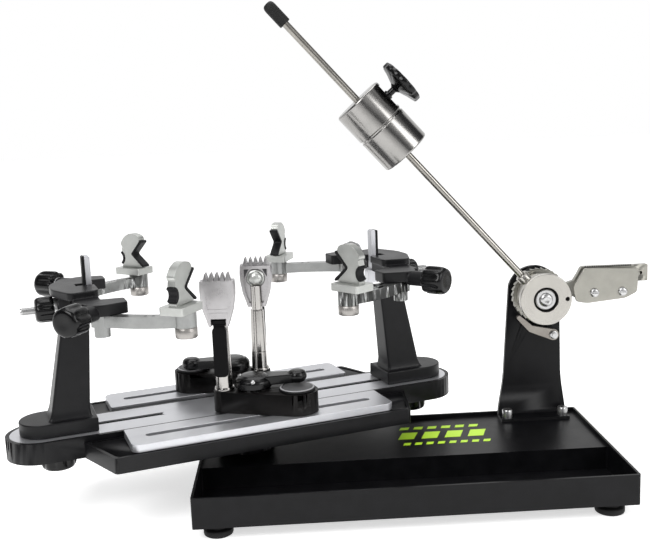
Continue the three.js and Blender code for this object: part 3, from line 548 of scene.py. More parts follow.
def make_piece(
    name: str,
    form: Form,
    place: Matrix,
    finish: "Finish",
    body: str,
    replaces: Sequence[str] = (),
    ease: Optional[Ease] = None,
) -> bpy.types.Object:
    """Turns a form into a finished piece of the scene.

    Args:
        name: The piece's name.
        form: Its shape, in its own drawing frame.
        place: From that frame to the scene.
        finish: What its surface looks like.
        body: The moving body that it rides on.
        replaces: Nodes of the frame that it stands for.
        ease: Rounding of its edges, if any.

    Returns:
        The new object, which sits at the origin.
    """
    if ease:
        form.tidied()
    holder = scratch_object(form.bm)
    if ease:
        rounding = holder.modifiers.new("edges", "BEVEL")
        rounding.width, rounding.segments = ease.width, ease.steps
        rounding.limit_method, rounding.angle_limit = "ANGLE", math.radians(ease.angle)
        rounding.use_clamp_overlap = True
        shading = holder.modifiers.new("shading", "WEIGHTED_NORMAL")
        shading.keep_sharp = True
    mesh = evaluated_mesh(holder)
    drop(holder)
    if not ease:
        mesh.shade_smooth()
        mesh.set_sharp_from_angle(angle=math.radians(SHARP_ANGLE))
    mesh.name = name
    drawn = mesh.attributes.new(DRAWN, "FLOAT_VECTOR", "POINT")
    places = [0.0] * (len(mesh.vertices) * 3)
    mesh.vertices.foreach_get("co", places)
    drawn.data.foreach_set("vector", places)
    mesh.transform(place)
    mesh.materials.clear()
    mesh.materials.append(finish.material())
    piece = bpy.data.objects.new(name, mesh)
    bpy.context.scene.collection.objects.link(piece)
    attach(piece, body)
    if replaces:
        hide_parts(*replaces)
    log.info("%s rides on %s, %d faces", name, body, len(mesh.polygons))
    return piece


# Node trees that make what repeats


class Nodes:
    """Adds and joins the nodes of one tree."""

    def __init__(self, tree: bpy.types.NodeTree) -> None:
        """Keeps the tree."""
        self.tree = tree

    def add(self, kind: str, options: Optional[dict] = None, **sockets: object) -> bpy.types.Node:
        """Adds a node, sets its options and joins or fills its inputs.

        Args:
            kind: The node's type.
            options: Its own settings.
            **sockets: Its inputs by name, with _ for a space, or by number as s0, s1 and so on.

        Returns:
            The node.
        """
        node = self.tree.nodes.new(kind)
        for key, value in (options or {}).items():
            setattr(node, key, value)
        for key, value in sockets.items():
            by_number = key[0] == "s" and key[1:].isdigit()
            socket = node.inputs[int(key[1:])] if by_number else node.inputs[key.replace("_", " ")]
            if isinstance(value, bpy.types.NodeSocket):
                self.join(value, socket)
            else:
                socket.default_value = value
        return node

    def join(self, source: bpy.types.NodeSocket, target: bpy.types.NodeSocket) -> None:
        """Joins an output to an input."""
        self.tree.links.new(source, target)

    def math(self, operation: str, *values: object) -> bpy.types.NodeSocket:
        """Adds a Math node and gives its result."""
        sockets = {f"s{i}": value for i, value in enumerate(values)}
        return self.add("ShaderNodeMath", {"operation": operation}, **sockets).outputs[0]


class Tree(Nodes):
    """A geometry node tree with named inputs, which ends in Realize Instances and Set Material."""

    def __init__(self, name: str, inputs: dict[str, tuple[str, object]]) -> None:
        """Makes the tree's sockets.

        Args:
            name: The tree's name.
            inputs: For each named size, its socket type and its usual value.
        """
        super().__init__(bpy.data.node_groups.new(name, "GeometryNodeTree"))
        face = self.tree.interface
        face.new_socket("Geometry", in_out="INPUT", socket_type="NodeSocketGeometry")
        self.names: dict[str, str] = {}
        for label, (kind, value) in {**inputs, "Finish": ("NodeSocketMaterial", None)}.items():
            socket = face.new_socket(label, in_out="INPUT", socket_type=kind)
            if value is not None:
                socket.default_value = value
            self.names[label] = socket.identifier
        face.new_socket("Geometry", in_out="OUTPUT", socket_type="NodeSocketGeometry")
        self.inputs = self.add("NodeGroupInput").outputs

    def close(self, shape: bpy.types.NodeSocket) -> None:
        """Ends the tree with the shape that it made.

        Args:
            shape: The socket that gives it.
        """
        solid = self.add("GeometryNodeRealizeInstances", s0=shape)
        dressed = self.add("GeometryNodeSetMaterial", s0=solid.outputs[0], Material=self.inputs["Finish"])
        self.add("NodeGroupOutput", s0=dressed.outputs[0])

    def grow(self, form: Form, finish: "Finish", **values: object) -> Form:
        """Runs the tree on a form.

        Args:
            form: What the tree starts from.
            finish: The material that it sets.
            **values: The tree's inputs, with _ for a space.

        Returns:
            The form with the mesh that the tree made.
        """
        holder = scratch_object(form.bm)
        step = holder.modifiers.new("tree", "NODES")
        step.node_group = self.tree
        step[self.names["Finish"]] = finish.material()
        for label, value in values.items():
            step[self.names[label.replace("_", " ")]] = value
        return form.taken(holder)


def row_tree() -> Tree:
    """Copies of a shape along a line: teeth, screws and bars.

    Returns:
        The tree.
    """
    tree = Tree("row_of_copies", {
        "Count": ("NodeSocketInt", 5),
        "Pitch": ("NodeSocketVector", (6.8, 0, 0)),
    })
    line = tree.add("GeometryNodeMeshLine", Count=tree.inputs["Count"], Offset=tree.inputs["Pitch"])
    shape = tree.inputs["Geometry"]
    tree.close(tree.add("GeometryNodeInstanceOnPoints", Points=line.outputs[0], Instance=shape).outputs[0])
    return tree


def flute_tree() -> Tree:
    """Hollows that run along a turned grip.

    Returns:
        The tree.
    """
    tree = Tree("fluted_grip", {
        "Flutes": ("NodeSocketInt", 8),
        "Depth": ("NodeSocketFloat", 0.13),
        "Sharpness": ("NodeSocketFloat", 1.6),
        "Fade from": ("NodeSocketFloat", 22.0),
        "Fade to": ("NodeSocketFloat", 29.0),
    })
    position = tree.add("GeometryNodeInputPosition").outputs[0]
    parts = tree.add("ShaderNodeSeparateXYZ", s0=position).outputs
    angle = tree.math("ARCTAN2", parts[1], parts[0])
    wave = tree.math("COSINE", tree.math("MULTIPLY", angle, tree.inputs["Flutes"]))
    swing = tree.math("MULTIPLY", tree.math("SUBTRACT", 1.0, wave), 0.5)
    hollow = tree.math("POWER", swing, tree.inputs["Sharpness"])
    fade = tree.add(
        "ShaderNodeMapRange", Value=parts[2], To_Min=1.0, To_Max=0.0,
        From_Min=tree.inputs["Fade from"], From_Max=tree.inputs["Fade to"],
    ).outputs[0]
    deep = tree.math("MULTIPLY", fade, tree.inputs["Depth"])
    share = tree.math("SUBTRACT", 1.0, tree.math("MULTIPLY", hollow, deep))
    x, y = (tree.math("MULTIPLY", part, share) for part in parts[:2])
    moved = tree.add("ShaderNodeCombineXYZ", s0=x, s1=y, s2=parts[2])
    shaped = tree.add("GeometryNodeSetPosition", Geometry=tree.inputs["Geometry"], Position=moved.outputs[0])
    tree.close(shaped.outputs[0])
    return tree


def ratchet_tree() -> Tree:
    """A toothed wheel: a circle whose radius falls from each tip to the next root, filled and raised.

    Returns:
        The tree.
    """
    tree = Tree("ratchet_wheel_shape", {
        "Teeth": ("NodeSocketInt", 30),
        "Steps": ("NodeSocketInt", 8),
        "Tip radius": ("NodeSocketFloat", 36.8),
        "Root radius": ("NodeSocketFloat", 34.6),
        "Thickness": ("NodeSocketFloat", 8.0),
    })
    total = tree.math("MULTIPLY", tree.inputs["Teeth"], tree.inputs["Steps"])
    ring = tree.add("GeometryNodeCurvePrimitiveCircle", Resolution=total, Radius=1.0)
    index = tree.add("GeometryNodeInputIndex").outputs[0]
    steps, tip = tree.inputs["Steps"], tree.inputs["Tip radius"]
    place = tree.math("DIVIDE", tree.math("MODULO", index, steps), tree.math("SUBTRACT", steps, 1.0))
    fall = tree.math("SUBTRACT", tip, tree.inputs["Root radius"])
    radius = tree.math("SUBTRACT", tip, tree.math("MULTIPLY", place, fall))
    position = tree.add("GeometryNodeInputPosition").outputs[0]
    spread = tree.add("ShaderNodeVectorMath", {"operation": "SCALE"}, s0=position, Scale=radius)
    outline = tree.add("GeometryNodeSetPosition", Geometry=ring.outputs[0], Position=spread.outputs[0])
    face = tree.add("GeometryNodeFillCurve", s0=outline.outputs[0])
    raised = tree.add("GeometryNodeExtrudeMesh", s0=face.outputs[0], Offset_Scale=tree.inputs["Thickness"])
    under = tree.add("GeometryNodeFlipFaces", s0=face.outputs[0])
    both = tree.add("GeometryNodeJoinGeometry")
    for half in (raised, under):
        tree.join(half.outputs[0], both.inputs[0])
    tree.close(tree.add("GeometryNodeMergeByDistance", Geometry=both.outputs[0]).outputs[0])
    return tree


ROW = row_tree()
FLUTES = flute_tree()
RATCHET = ratchet_tree()


# Finishes


class Grain(Enum):
    """How the fine marks of a surface lie."""

    EVEN = "even"
    BRUSHED = "brushed"
    TURNED_Z = "turned about Z"
    TURNED_Y = "turned about Y"


BRUSH_STRETCH = (0.02, 1.0, 1.0)


class Sketch(Nodes):
    """The nodes of one material."""

    def __init__(self, name: str) -> None:
        """Starts a material with an empty tree.

        Args:
            name: The material's name.
        """
        self.material = bpy.data.materials.new(name)
        self.material.use_nodes = True
        super().__init__(self.material.node_tree)
        self.tree.nodes.clear()
        self.shader = self.add("ShaderNodeBsdfPrincipled")
        self.add("ShaderNodeOutputMaterial", Surface=self.shader.outputs[0])

    def noise(self, place: bpy.types.NodeSocket, scale: float, detail: float = 3.0) -> bpy.types.NodeSocket:
        """Adds a noise pattern and gives its height."""
        texture = self.add("ShaderNodeTexNoise", Vector=place, Scale=scale, Detail=detail, Roughness=0.55)
        return texture.outputs[0]

    def spread(self, value: bpy.types.NodeSocket, low: float, high: float) -> bpy.types.NodeSocket:
        """Maps a pattern's usual range onto low to high."""
        mapped = self.add(
            "ShaderNodeMapRange", Value=value, From_Min=0.3, From_Max=0.7, To_Min=low, To_Max=high
        )
        return mapped.outputs[0]

    def blend(
        self, factor: bpy.types.NodeSocket, first: Sequence[float], second: Sequence[float]
    ) -> bpy.types.NodeSocket:
        """Mixes two colours by a pattern.

        Args:
            factor: The pattern.
            first: Colour where it is 0.
            second: Colour where it is 1.

        Returns:
            The mixed colour.
        """
        mix = self.tree.nodes.new("ShaderNodeMix")
        mix.data_type = "RGBA"
        self.tree.links.new(factor, mix.inputs[0])
        mix.inputs[6].default_value = (*first, 1.0)
        mix.inputs[7].default_value = (*second, 1.0)
        return mix.outputs[2]

    def drawn(self) -> bpy.types.NodeSocket:
        """The place in the piece's own drawing frame, in millimetres."""
        return self.add("ShaderNodeAttribute", {"attribute_name": DRAWN}).outputs["Vector"]


@dataclass(frozen=True)
class Finish:
    """One surface: its colours, its gloss and the marks on it. Lengths are millimetres."""

    name: str
    color: tuple[float, float, float]
    tint: tuple[float, float, float]
    metal: float = 0.0
    roughness: float = 0.4
    spread: float = 0.06
    grain: Grain = Grain.EVEN
    marks: float = 1.0
    relief: float = 0.01
    mottle: float = 0.05
    specular: float = 0.5

    def material(self) -> bpy.types.Material:
        """The finish's material, made the first time that it is asked for."""
        made = bpy.data.materials.get(self.name)
        return made if made else self._made()

    def _made(self) -> bpy.types.Material:
        """Builds the nodes: mottled colour, uneven gloss and fine relief.

        Returns:
            The new material.
        """
        sketch = Sketch(self.name)
        place = sketch.drawn()
        mottle = sketch.noise(place, self.mottle, 4.0)
        marks = self._marks(sketch, place)
        inputs = sketch.shader.inputs
        color = sketch.blend(sketch.spread(mottle, 0.0, 1.0), self.color, self.tint)
        sketch.join(color, inputs["Base Color"])
        uneven = sketch.math("MULTIPLY_ADD", marks, 0.5, sketch.math("MULTIPLY", mottle, 0.5))
        low, high = self.roughness - self.spread, self.roughness + self.spread
        sketch.join(sketch.spread(uneven, low, high), inputs["Roughness"])
        bump = sketch.add("ShaderNodeBump", Height=marks, Strength=1.0, Distance=self.relief * MM)
        sketch.join(bump.outputs[0], inputs["Normal"])
        inputs["Metallic"].default_value = self.metal
        inputs["Specular IOR Level"].default_value = self.specular
        return sketch.material

    def _marks(self, sketch: Sketch, place: bpy.types.NodeSocket) -> bpy.types.NodeSocket:
        """The height of the fine marks, from 0 to 1.

        Args:
            sketch: The material's nodes.
            place: The place in the piece's own frame.

        Returns:
            The height's socket.
        """
        if self.grain is Grain.EVEN:
            return sketch.noise(place, self.marks)
        if self.grain is Grain.BRUSHED:
            long = sketch.add("ShaderNodeMapping", Vector=place, Scale=BRUSH_STRETCH).outputs[0]
            return sketch.noise(long, self.marks)
        flat = (1.0, 1.0, 0.0) if self.grain is Grain.TURNED_Z else (1.0, 0.0, 1.0)
        axis = tuple(1 - v for v in flat)
        across = sketch.add("ShaderNodeVectorMath", {"operation": "MULTIPLY"}, s0=place, s1=flat).outputs[0]
        radius = sketch.add("ShaderNodeVectorMath", {"operation": "LENGTH"}, s0=across).outputs["Value"]
        height = sketch.add("ShaderNodeVectorMath", {"operation": "DOT_PRODUCT"}, s0=place, s1=axis)
        rings = sketch.add("ShaderNodeCombineXYZ", s0=radius, s1=height.outputs["Value"]).outputs[0]
        return sketch.noise(rings, self.marks)


# Paints, plastics and rubbers

BLACK_COAT = Finish(
    "black_powder_coat", (0.003, 0.003, 0.0035), (0.006, 0.006, 0.007), roughness=0.34, marks=0.9,
    relief=0.02, specular=0.18,
)
CAST_BLACK = Finish(
    "black_cast_paint", (0.004, 0.004, 0.0046), (0.008, 0.008, 0.009), roughness=0.38, marks=1.6,
    relief=0.03, specular=0.22,
)
RIM_BLACK = Finish(
    "black_rim_paint", (0.005, 0.0045, 0.0045), (0.008, 0.007, 0.007), roughness=0.44, marks=0.8,
    relief=0.012, specular=0.2,
)
GRIP_BLACK = Finish(
    "black_dipped_grip", (0.003, 0.003, 0.0035), (0.005, 0.005, 0.0055), roughness=0.4, marks=1.4,
    specular=0.08,
)
GLOSS_BLACK = Finish(
    "gloss_black_plastic", (0.002, 0.002, 0.0022), (0.004, 0.004, 0.0045), roughness=0.22, spread=0.05,
    marks=0.8, relief=0.006, specular=0.28,
)
MATT_BLACK = Finish(
    "matt_black_plastic", (0.005, 0.005, 0.0055), (0.009, 0.009, 0.010), roughness=0.45, marks=2.0,
    relief=0.02, specular=0.2,
)
FOOT_RUBBER = Finish(
    "foot_rubber_black", (0.007, 0.007, 0.007), (0.012, 0.012, 0.012), roughness=0.6, marks=2.0,
    relief=0.03, specular=0.25,
)
PAD_RUBBER = Finish(
    "pad_rubber_black", (0.006, 0.006, 0.007), (0.010, 0.010, 0.011), roughness=0.5, marks=2.5, relief=0.03,
    specular=0.2,
)
# Near-black used as painted shade in the drum disc's recess and marker hole.
PAINTED_SHADE_BLACK = Finish("dark_slot", (0.003, 0.003, 0.003), (0.006, 0.006, 0.006), roughness=0.6, specular=0.1)
CAP_GREY = Finish("grey_cap_face", (0.045, 0.045, 0.047), (0.07, 0.07, 0.072), roughness=0.5, marks=2.5)
# Pale grey used as a painted highlight on the slider cap's rim.
RIM_HIGHLIGHT_GREY = Finish("pale_cap_rim", (0.30, 0.30, 0.31), (0.38, 0.38, 0.39), marks=2.0, relief=0.006)
LIME_PAINT = Finish("lime_paint", (0.50, 0.83, 0.02), (0.55, 0.87, 0.04), relief=0.004)

# Metals

RAIL_SILVER = Finish(
    "rail_satin_silver", (0.56, 0.565, 0.59), (0.66, 0.665, 0.69), metal=0.85, roughness=0.36, spread=0.08,
    grain=Grain.BRUSHED, marks=2.2, relief=0.004, mottle=0.02,
)
ARM_SILVER = Finish(
    "arm_brushed_silver", (0.25, 0.255, 0.25), (0.34, 0.345, 0.34), metal=0.9, roughness=0.32, spread=0.08,
    grain=Grain.BRUSHED, marks=1.8, relief=0.006, mottle=0.04,
)
CAST_SILVER = Finish(
    "cast_satin_silver", (0.38, 0.37, 0.375), (0.46, 0.45, 0.455), metal=0.85, roughness=0.3, marks=1.5,
    relief=0.012,
)
JAW_SILVER = Finish(
    "jaw_satin_silver", (0.46, 0.47, 0.45), (0.55, 0.56, 0.54), metal=0.8, roughness=0.36, marks=1.5,
    relief=0.012,
)
CHROME = Finish(
    "bright_chrome", (0.36, 0.35, 0.335), (0.42, 0.405, 0.39), metal=1.0, roughness=0.17, spread=0.03,
    marks=0.3, relief=0.001,
)
WEIGHT_STEEL = Finish(
    "weight_polished_steel", (0.26, 0.255, 0.245), (0.33, 0.32, 0.31), metal=1.0, roughness=0.2,
    spread=0.05, grain=Grain.TURNED_Z, marks=1.6, relief=0.002, mottle=0.03,
)
PAWL_STEEL = Finish(
    "pawl_worn_steel", (0.24, 0.22, 0.20), (0.32, 0.30, 0.27), metal=0.9, roughness=0.34, marks=1.2,
    relief=0.008,
)
NUT_STEEL = Finish(
    "turned_nut_steel", (0.33, 0.315, 0.30), (0.42, 0.40, 0.38), metal=0.85, spread=0.08,
    grain=Grain.TURNED_Z, marks=2.6, relief=0.006,
)
ROD_CHROME = Finish(
    "ground_rod_steel", (0.26, 0.25, 0.23), (0.33, 0.315, 0.29), metal=1.0, roughness=0.25, spread=0.04,
    grain=Grain.TURNED_Z, marks=3.0, relief=0.001,
)
TURNED_FACE = Finish(
    "turned_steel_face", (0.40, 0.385, 0.36), (0.48, 0.465, 0.43), metal=0.95, roughness=0.3, spread=0.07,
    grain=Grain.TURNED_Y, marks=2.4, relief=0.006, mottle=0.03,
)
PLATE_STEEL = Finish(
    "plate_satin_steel", (0.30, 0.295, 0.265), (0.36, 0.35, 0.315), metal=0.92, roughness=0.33,
    grain=Grain.BRUSHED, marks=1.8, relief=0.005,
)
SCREW_STEEL = Finish(
    "screw_steel", (0.44, 0.44, 0.44), (0.54, 0.54, 0.54), metal=0.95, roughness=0.3, marks=2.0,
    relief=0.003,
)


# Shared pieces


def grip(radius: float, height: float) -> Form:
    """A knob with eight hollows that stands on the XY plane, with a domed end.

    Args:
        radius: Greatest radius.
        height: Height of the dome's top.

    Returns:
        The form.
    """
    shares = [
        (0, 0), (0.8, 0), (0.93, 0.03), (0.98, 0.08), (1, 0.16), (1, 0.34), (1, 0.52), (0.995, 0.68),
        (0.975, 0.8), (0.93, 0.89), (0.86, 0.95), (0.76, 0.985), (0.62, 1), (0.4, 0.995), (0.2, 0.985),
        (0, 0.98),
    ]
    return FLUTES.grow(
        Form.turned(scaled(shares, radius, height), steps=144), GLOSS_BLACK,
        Flutes=8, Depth=0.12, Sharpness=1.9, Fade_from=height * 0.62, Fade_to=height * 0.97,
    )


def slotted_screw(radius: float, height: float) -> Form:
    """A domed screw head with a slot, its seat on the XY plane.

    Args:
        radius: Radius of the head.
        height: Height of the dome.

    Returns:
        The form.
    """
    head = Form.turned([
        (0, -0.4), (radius, -0.4), (radius, height * 0.25), (radius * 0.86, height * 0.68),
        (radius * 0.55, height * 0.93), (0, height),
    ], steps=48)
    long, half = radius * 1.1, radius * 0.14
    return head.cut(Form.block(-long, long, -half, half, height * 0.45, height + OVERRUN))


def socket_screw(radius: float, height: float) -> Form:
    """A cap screw's head with a six-sided socket, its seat on the XY plane.

    Args:
        radius: Radius of the head.
        height: Its height.

    Returns:
        The form.
    """
    edge = [(radius, 0), (radius, height - 1.0), (radius - 0.8, height)]
    head = Form.turned([(0, 0), *edge, (0, height)], steps=48)
    return head.cut(Form.round(radius * 0.46, height * 0.45, height + OVERRUN, steps=6))


def rounded_section(half_x: float, half_y: float, power: float) -> list[Point]:
    """A level section between an oval and a rectangle; a higher power is squarer.

    Args:
        half_x: Half of its width.
        half_y: Half of its depth.
        power: How square it is.

    Returns:
        The outline.
    """
    steps = 64
    points = []
    for i in range(steps):
        angle = 2 * math.pi * (i + 0.5) / steps
        c, s = math.cos(angle), math.sin(angle)
        points.append((
            half_x * math.copysign(abs(c) ** (2 / power), c),
            half_y * math.copysign(abs(s) ** (2 / power), s),
        ))
    return points


def at_height(table: Sequence[Point], height: float) -> float:
    """The value of a smooth curve through (value, height) points.

    Args:
        table: The curve's points, from low to high.
        height: Where it is read.

    Returns:
        The value.
    """
    for (v0, h0), (v1, h1) in zip(table, table[1:]):
        if height <= h1:
            t = (height - h0) / (h1 - h0)
            return mix(v0, v1, t * t * (3 - 2 * t) * 0.4 + t * 0.6)
    return table[-1][0]


class Assembly:
    """A sub-assembly whose pieces, bodies and nodes have names that begin with its own."""

    name: str

    def dress(
        self, part: str, form: Form, place: Matrix, finish: Finish, body: str, slot: str, node: str = "",
        ease: Optional[Ease] = None,
    ) -> None:
        """Makes a piece. All names are given without the sub-assembly's own.

        Args:
            part: The piece's name.
            form: Its shape.
            place: From its drawing frame to the scene.
            finish: What its surface looks like.
            body: The moving body that it rides on.
            slot: Not used.
            node: The frame's node that it stands for, if any.
            ease: Rounding of its edges, if any.
        """
        nodes = [f"{self.name}_{node}"] if node else []
        make_piece(f"{self.name}_{part}", form, place, finish, f"{self.name}_{body}", nodes, ease)


# Base


@dataclass
class Base:
    """Sheet-steel tray with its raised deck, its feet and the tension post."""

    half_length: float = 260.0
    half_depth: float = 125.0
    low: float = 17.0
    floor: float = 20.0
    rim: float = 54.0
    deck_top: float = 49.0
    deck_front: float = -21.0
    wall: float = 3.0
    corner: float = 3.5
    foot_inset: Point = (28.0, 25.0)
    paint: float = 0.25
    post_front: float = 112.0
    post_plate: float = 6.0
    crown: float = 263.0
    crown_middle: float = 199.0
    crown_half: float = 35.0
    crown_rise: float = 27.0
    flange: float = 4.0
    flange_depth: float = 22.0
    screw_places: Point = (158.0, 235.5)
    screw_inset: float = 12.0
    seat: float = 60.7
    nut_face: float = 118.3

    def build(self) -> None:
        """Builds every piece of the base."""
        self.shell()
        self.bars()
        self.feet()
        self.post()
        self.post_fittings()
        self.shaft()

    def shell(self) -> None:
        """Folded tray with the tool trough and the deck."""
        hx, hy, wall, over = self.half_length, self.half_depth, self.wall, self.rim + OVERRUN
        body = Form.prism(softened(rectangle(-hx, hx, -hy, hy), self.corner), self.low, self.rim)
        inner = self.corner * 0.6
        trough = softened(rectangle(-hx + wall, hx - wall, -hy + wall, self.deck_front), inner)
        above = softened(rectangle(-hx + wall, hx - wall, self.deck_front - wall, hy - wall), inner)
        body.cut(Form.prism(trough, self.floor, over), Form.prism(above, self.deck_top, over))
        make_piece("tray_shell", body, BASE, BLACK_COAT, "base", ["base_tray"], Ease(1.0))

    def bars(self) -> None:
        """Plain slanted bars painted on the deck, the two outer rows thin and the middle one bold."""
        for row, y, tall, wide, pitch, count, left in (
            ("upper", 79.0, 9.0, 12.0, 19.0, 6, 4.0),
            ("middle", 43.0, 24.0, 21.0, 31.0, 4, -2.0),
            ("lower", 21.0, 8.0, 9.0, 15.0, 8, 2.0),
        ):
            slant = tall * 0.35
            bar = Form.prism([(0, 0), (wide, 0), (wide + slant, tall), (slant, tall)], 0, self.paint)
            ROW.grow(bar, LIME_PAINT, Count=count, Pitch=(pitch, 0.0, 0.0))
            spot = BASE @ at(left, y, self.deck_top)
            make_piece(f"deck_bars_{row}", bar, spot, LIME_PAINT, "base")

    def feet(self) -> None:
        """Four round rubber feet."""
        profile = [
            (0, 0), (15.5, 0), (17, 0.9), (17.5, 2.4), (17.5, 6.6), (16.8, 7.8), (15, 8.4), (12.6, 9.2),
            (12, 10.5), (12, 16.8), (0, 16.8),
        ]
        x, y = self.half_length - self.foot_inset[0], self.half_depth - self.foot_inset[1]
        for across, sx in SIDES:
            for place, sy in ENDS:
                node = f"{across}_{place}_foot"
                foot, spot = Form.turned(profile), BASE @ at(sx * x, sy * y)
                make_piece(f"{node}_rubber", foot, spot, FOOT_RUBBER, "base", [node])

    def post(self) -> None:
        """Tension post: a flanged sheet with a rounded crown and the shaft's hole."""
        front, back, deck = self.post_front, self.post_front + self.post_plate, self.deck_top
        half, rise = self.crown_half, self.crown_rise
        radius = (half * half + rise * rise) / (2 * rise)
        spread = math.degrees(math.asin(half / radius))
        top = arc(radius, self.crown_middle, self.crown - radius, 90 - spread, 90 + spread, 40)
        left = [(156, 112), (154.2, 96), (151.2, 78), (148.6, 62), (148, deck)]
        right = [(243, deck), (242.4, 62), (240, 78), (237.4, 96), (236, 112)]
        sheet = Form.prism([*right, *top, *left], 0, self.post_plate).stood(back)
        x0, x1 = left[-1][0], right[0][0]
        flange = Form.block(x0, x1, front - self.flange_depth, back, deck, deck + self.flange)
        hole = Form.round(BORE, -OVERRUN, self.post_plate + OVERRUN).along_y(SHAFT[0], front, SHAFT[1])
        body = sheet.joined(flange).cut(hole)
        make_piece("post_plate", body, BASE, BLACK_COAT, "base", ["tension_post"], Ease(0.8))

    def post_fittings(self) -> None:
        """Two cap screws on the post's flange and the stud that carries the pawl."""
        left, right = self.screw_places
        screw = ROW.grow(socket_screw(7.0, 11.0), SCREW_STEEL, Count=2, Pitch=(right - left, 0.0, 0.0))
        spot = BASE @ at(left, self.post_front - self.screw_inset, self.deck_top + self.flange)
        make_piece("post_screws", screw, spot, SCREW_STEEL, "base")
        stud = Form.turned([
            (0, 89.2), (2.6, 89.2), (2.6, 90.4), (4.6, 90.4), (5.5, 91), (5.5, 93.2), (3, 93.2), (3, 99.8),
            (5.5, 99.8), (5.5, 112), (0, 112),
        ], steps=48).along_y()
        spot = BASE @ at(PAWL_STUD[0], 0, PAWL_STUD[1])
        make_piece("pawl_stud", stud, spot, SCREW_STEEL, "base")

    def shaft(self) -> None:
        """Shaft with its domed bolt and washer in front and its nut behind."""
        dome = [
            (0, 5.2), (2.2, 5.2), (3.4, 5.9), (5.4, 5.6), (7.4, 4.6), (8.8, 3), (9.4, 1.5), (12.6, 1.5),
            (13, 1.1),
        ]
        bolt = Form.turned([
            *[(radius, self.seat - rise) for radius, rise in dome], (13, self.seat), (8, self.seat),
            (8, 107.3), (14, 107.3), (14, 111.7), (8, 111.7), (8, self.nut_face), (0, self.nut_face),
        ]).along_y()
        nut = Form.round(13, self.nut_face, self.nut_face + 8, steps=6).along_y()
        make_piece("shaft_bolt", bolt, DRUM, SCREW_STEEL, "base", ["drum_shaft"])
        make_piece("shaft_nut", nut, DRUM, SCREW_STEEL, "base", ease=Ease(0.6))


# Turntable


@dataclass
class Turntable:
    """Swinging casting with its machined track and its two rails."""

    low: float = 84.0
    wing_top: float = 103.0
    beam_top: float = 110.0
    beam_half: float = 43.0
    beam_centre: float = 257.0
    hub_radius: float = 38.0
    hub_low: float = 49.3
    track_half: float = 38.5
    track_depth: float = 1.6
    pocket_depth: float = 1.2
    slot_ends: Point = (103.5, 280.5)
    gutter: Point = (6.5, 141.5)
    rail_low: float = 103.3
    rail_high: float = 112.8
    rail_middle: float = 79.0
    rail_slot: Point = (5.2, 139.8)

    def build(self) -> None:
        """Builds the casting, the track and the rails."""
        self.casting()
        self.track()
        self.rail("front_rail", -1)
        self.rail("rear_rail", 1)

    def beam(self, half: float, low: float, high: float) -> Form:
        """A beam along the table with round noses."""
        return Form.prism(stadium(half, -self.beam_centre, self.beam_centre, steps=64), low, high)

    def tower_slots(self, half: float) -> list[list[Point]]:
        """Outlines of the two slots that the towers slide along."""
        near, far = self.slot_ends
        return [stadium(half, -near, -far)[::-1], stadium(half, near, far)]

    def casting(self) -> None:
        """Beam, wings, hub and pivot in one casting."""
        under, over = self.low - OVERRUN, self.beam_top + OVERRUN
        wing = softened([
            (213, -43), (213, 43), (187, 115), (-187, 115), (-213, 43), (-213, -43), (-187, -115),
            (187, -115),
        ], 4.5)
        body = self.beam(self.beam_half, self.low, self.beam_top).joined(
            Form.prism(wing, self.low, self.wing_top),
            Form.round(self.hub_radius, self.hub_low, self.low + OVERRUN, steps=96),
        )
        recess = self.beam(self.track_half, self.beam_top - self.track_depth, over)
        pocket = softened([(208.5, 45.5), (184, 111), (-184, 111), (-208.5, 45.5)], 6)
        low, high = self.wing_top - self.pocket_depth, self.wing_top + 1
        half, end = self.gutter
        body.cut(
            recess,
            *[Form.prism(pocket, low, high).mirrored(1, side) for side in (-1, 1)],
            *[Form.prism(outline, under, over) for outline in self.tower_slots(4.5)],
            *[Form.prism(stadium(half, -end, end, side * self.rail_middle), under, over) for side in (-1, 1)],
        )
        nodes, ease = ["turntable_casting"], Ease(1.4)
        make_piece("turntable_body", body, TABLE, CAST_BLACK, "turntable", nodes, ease)

    def track(self) -> None:
        """Machined silver face that the towers stand on."""
        outline = stadium(self.track_half - 0.5, -self.beam_centre, self.beam_centre, steps=64)
        low = self.beam_top - self.track_depth + 0.05
        face = Form.prism(outline, low, self.beam_top, self.tower_slots(5.2))
        make_piece("track_face", face, TABLE, RAIL_SILVER, "turntable", ease=Ease(0.4, 2))

    def rail(self, node: str, side: int) -> None:
        """Silver rail with the slot that its clamp slides along.

        Args:
            node: The frame's node.
            side: -1 for the front rail and 1 for the rear one.
        """
        half, end = self.rail_slot
        outline = softened([(-166, 48), (166, 48), (166, 104), (160, 110), (-160, 110), (-166, 104)], 3.0)
        slot = stadium(half, -end, end, self.rail_middle)
        form = Form.prism(outline, self.rail_low, self.rail_high, [slot]).mirrored(1, side)
        make_piece(f"{node}_bar", form, TABLE, RAIL_SILVER, "turntable", [node], Ease(0.9))


# Towers


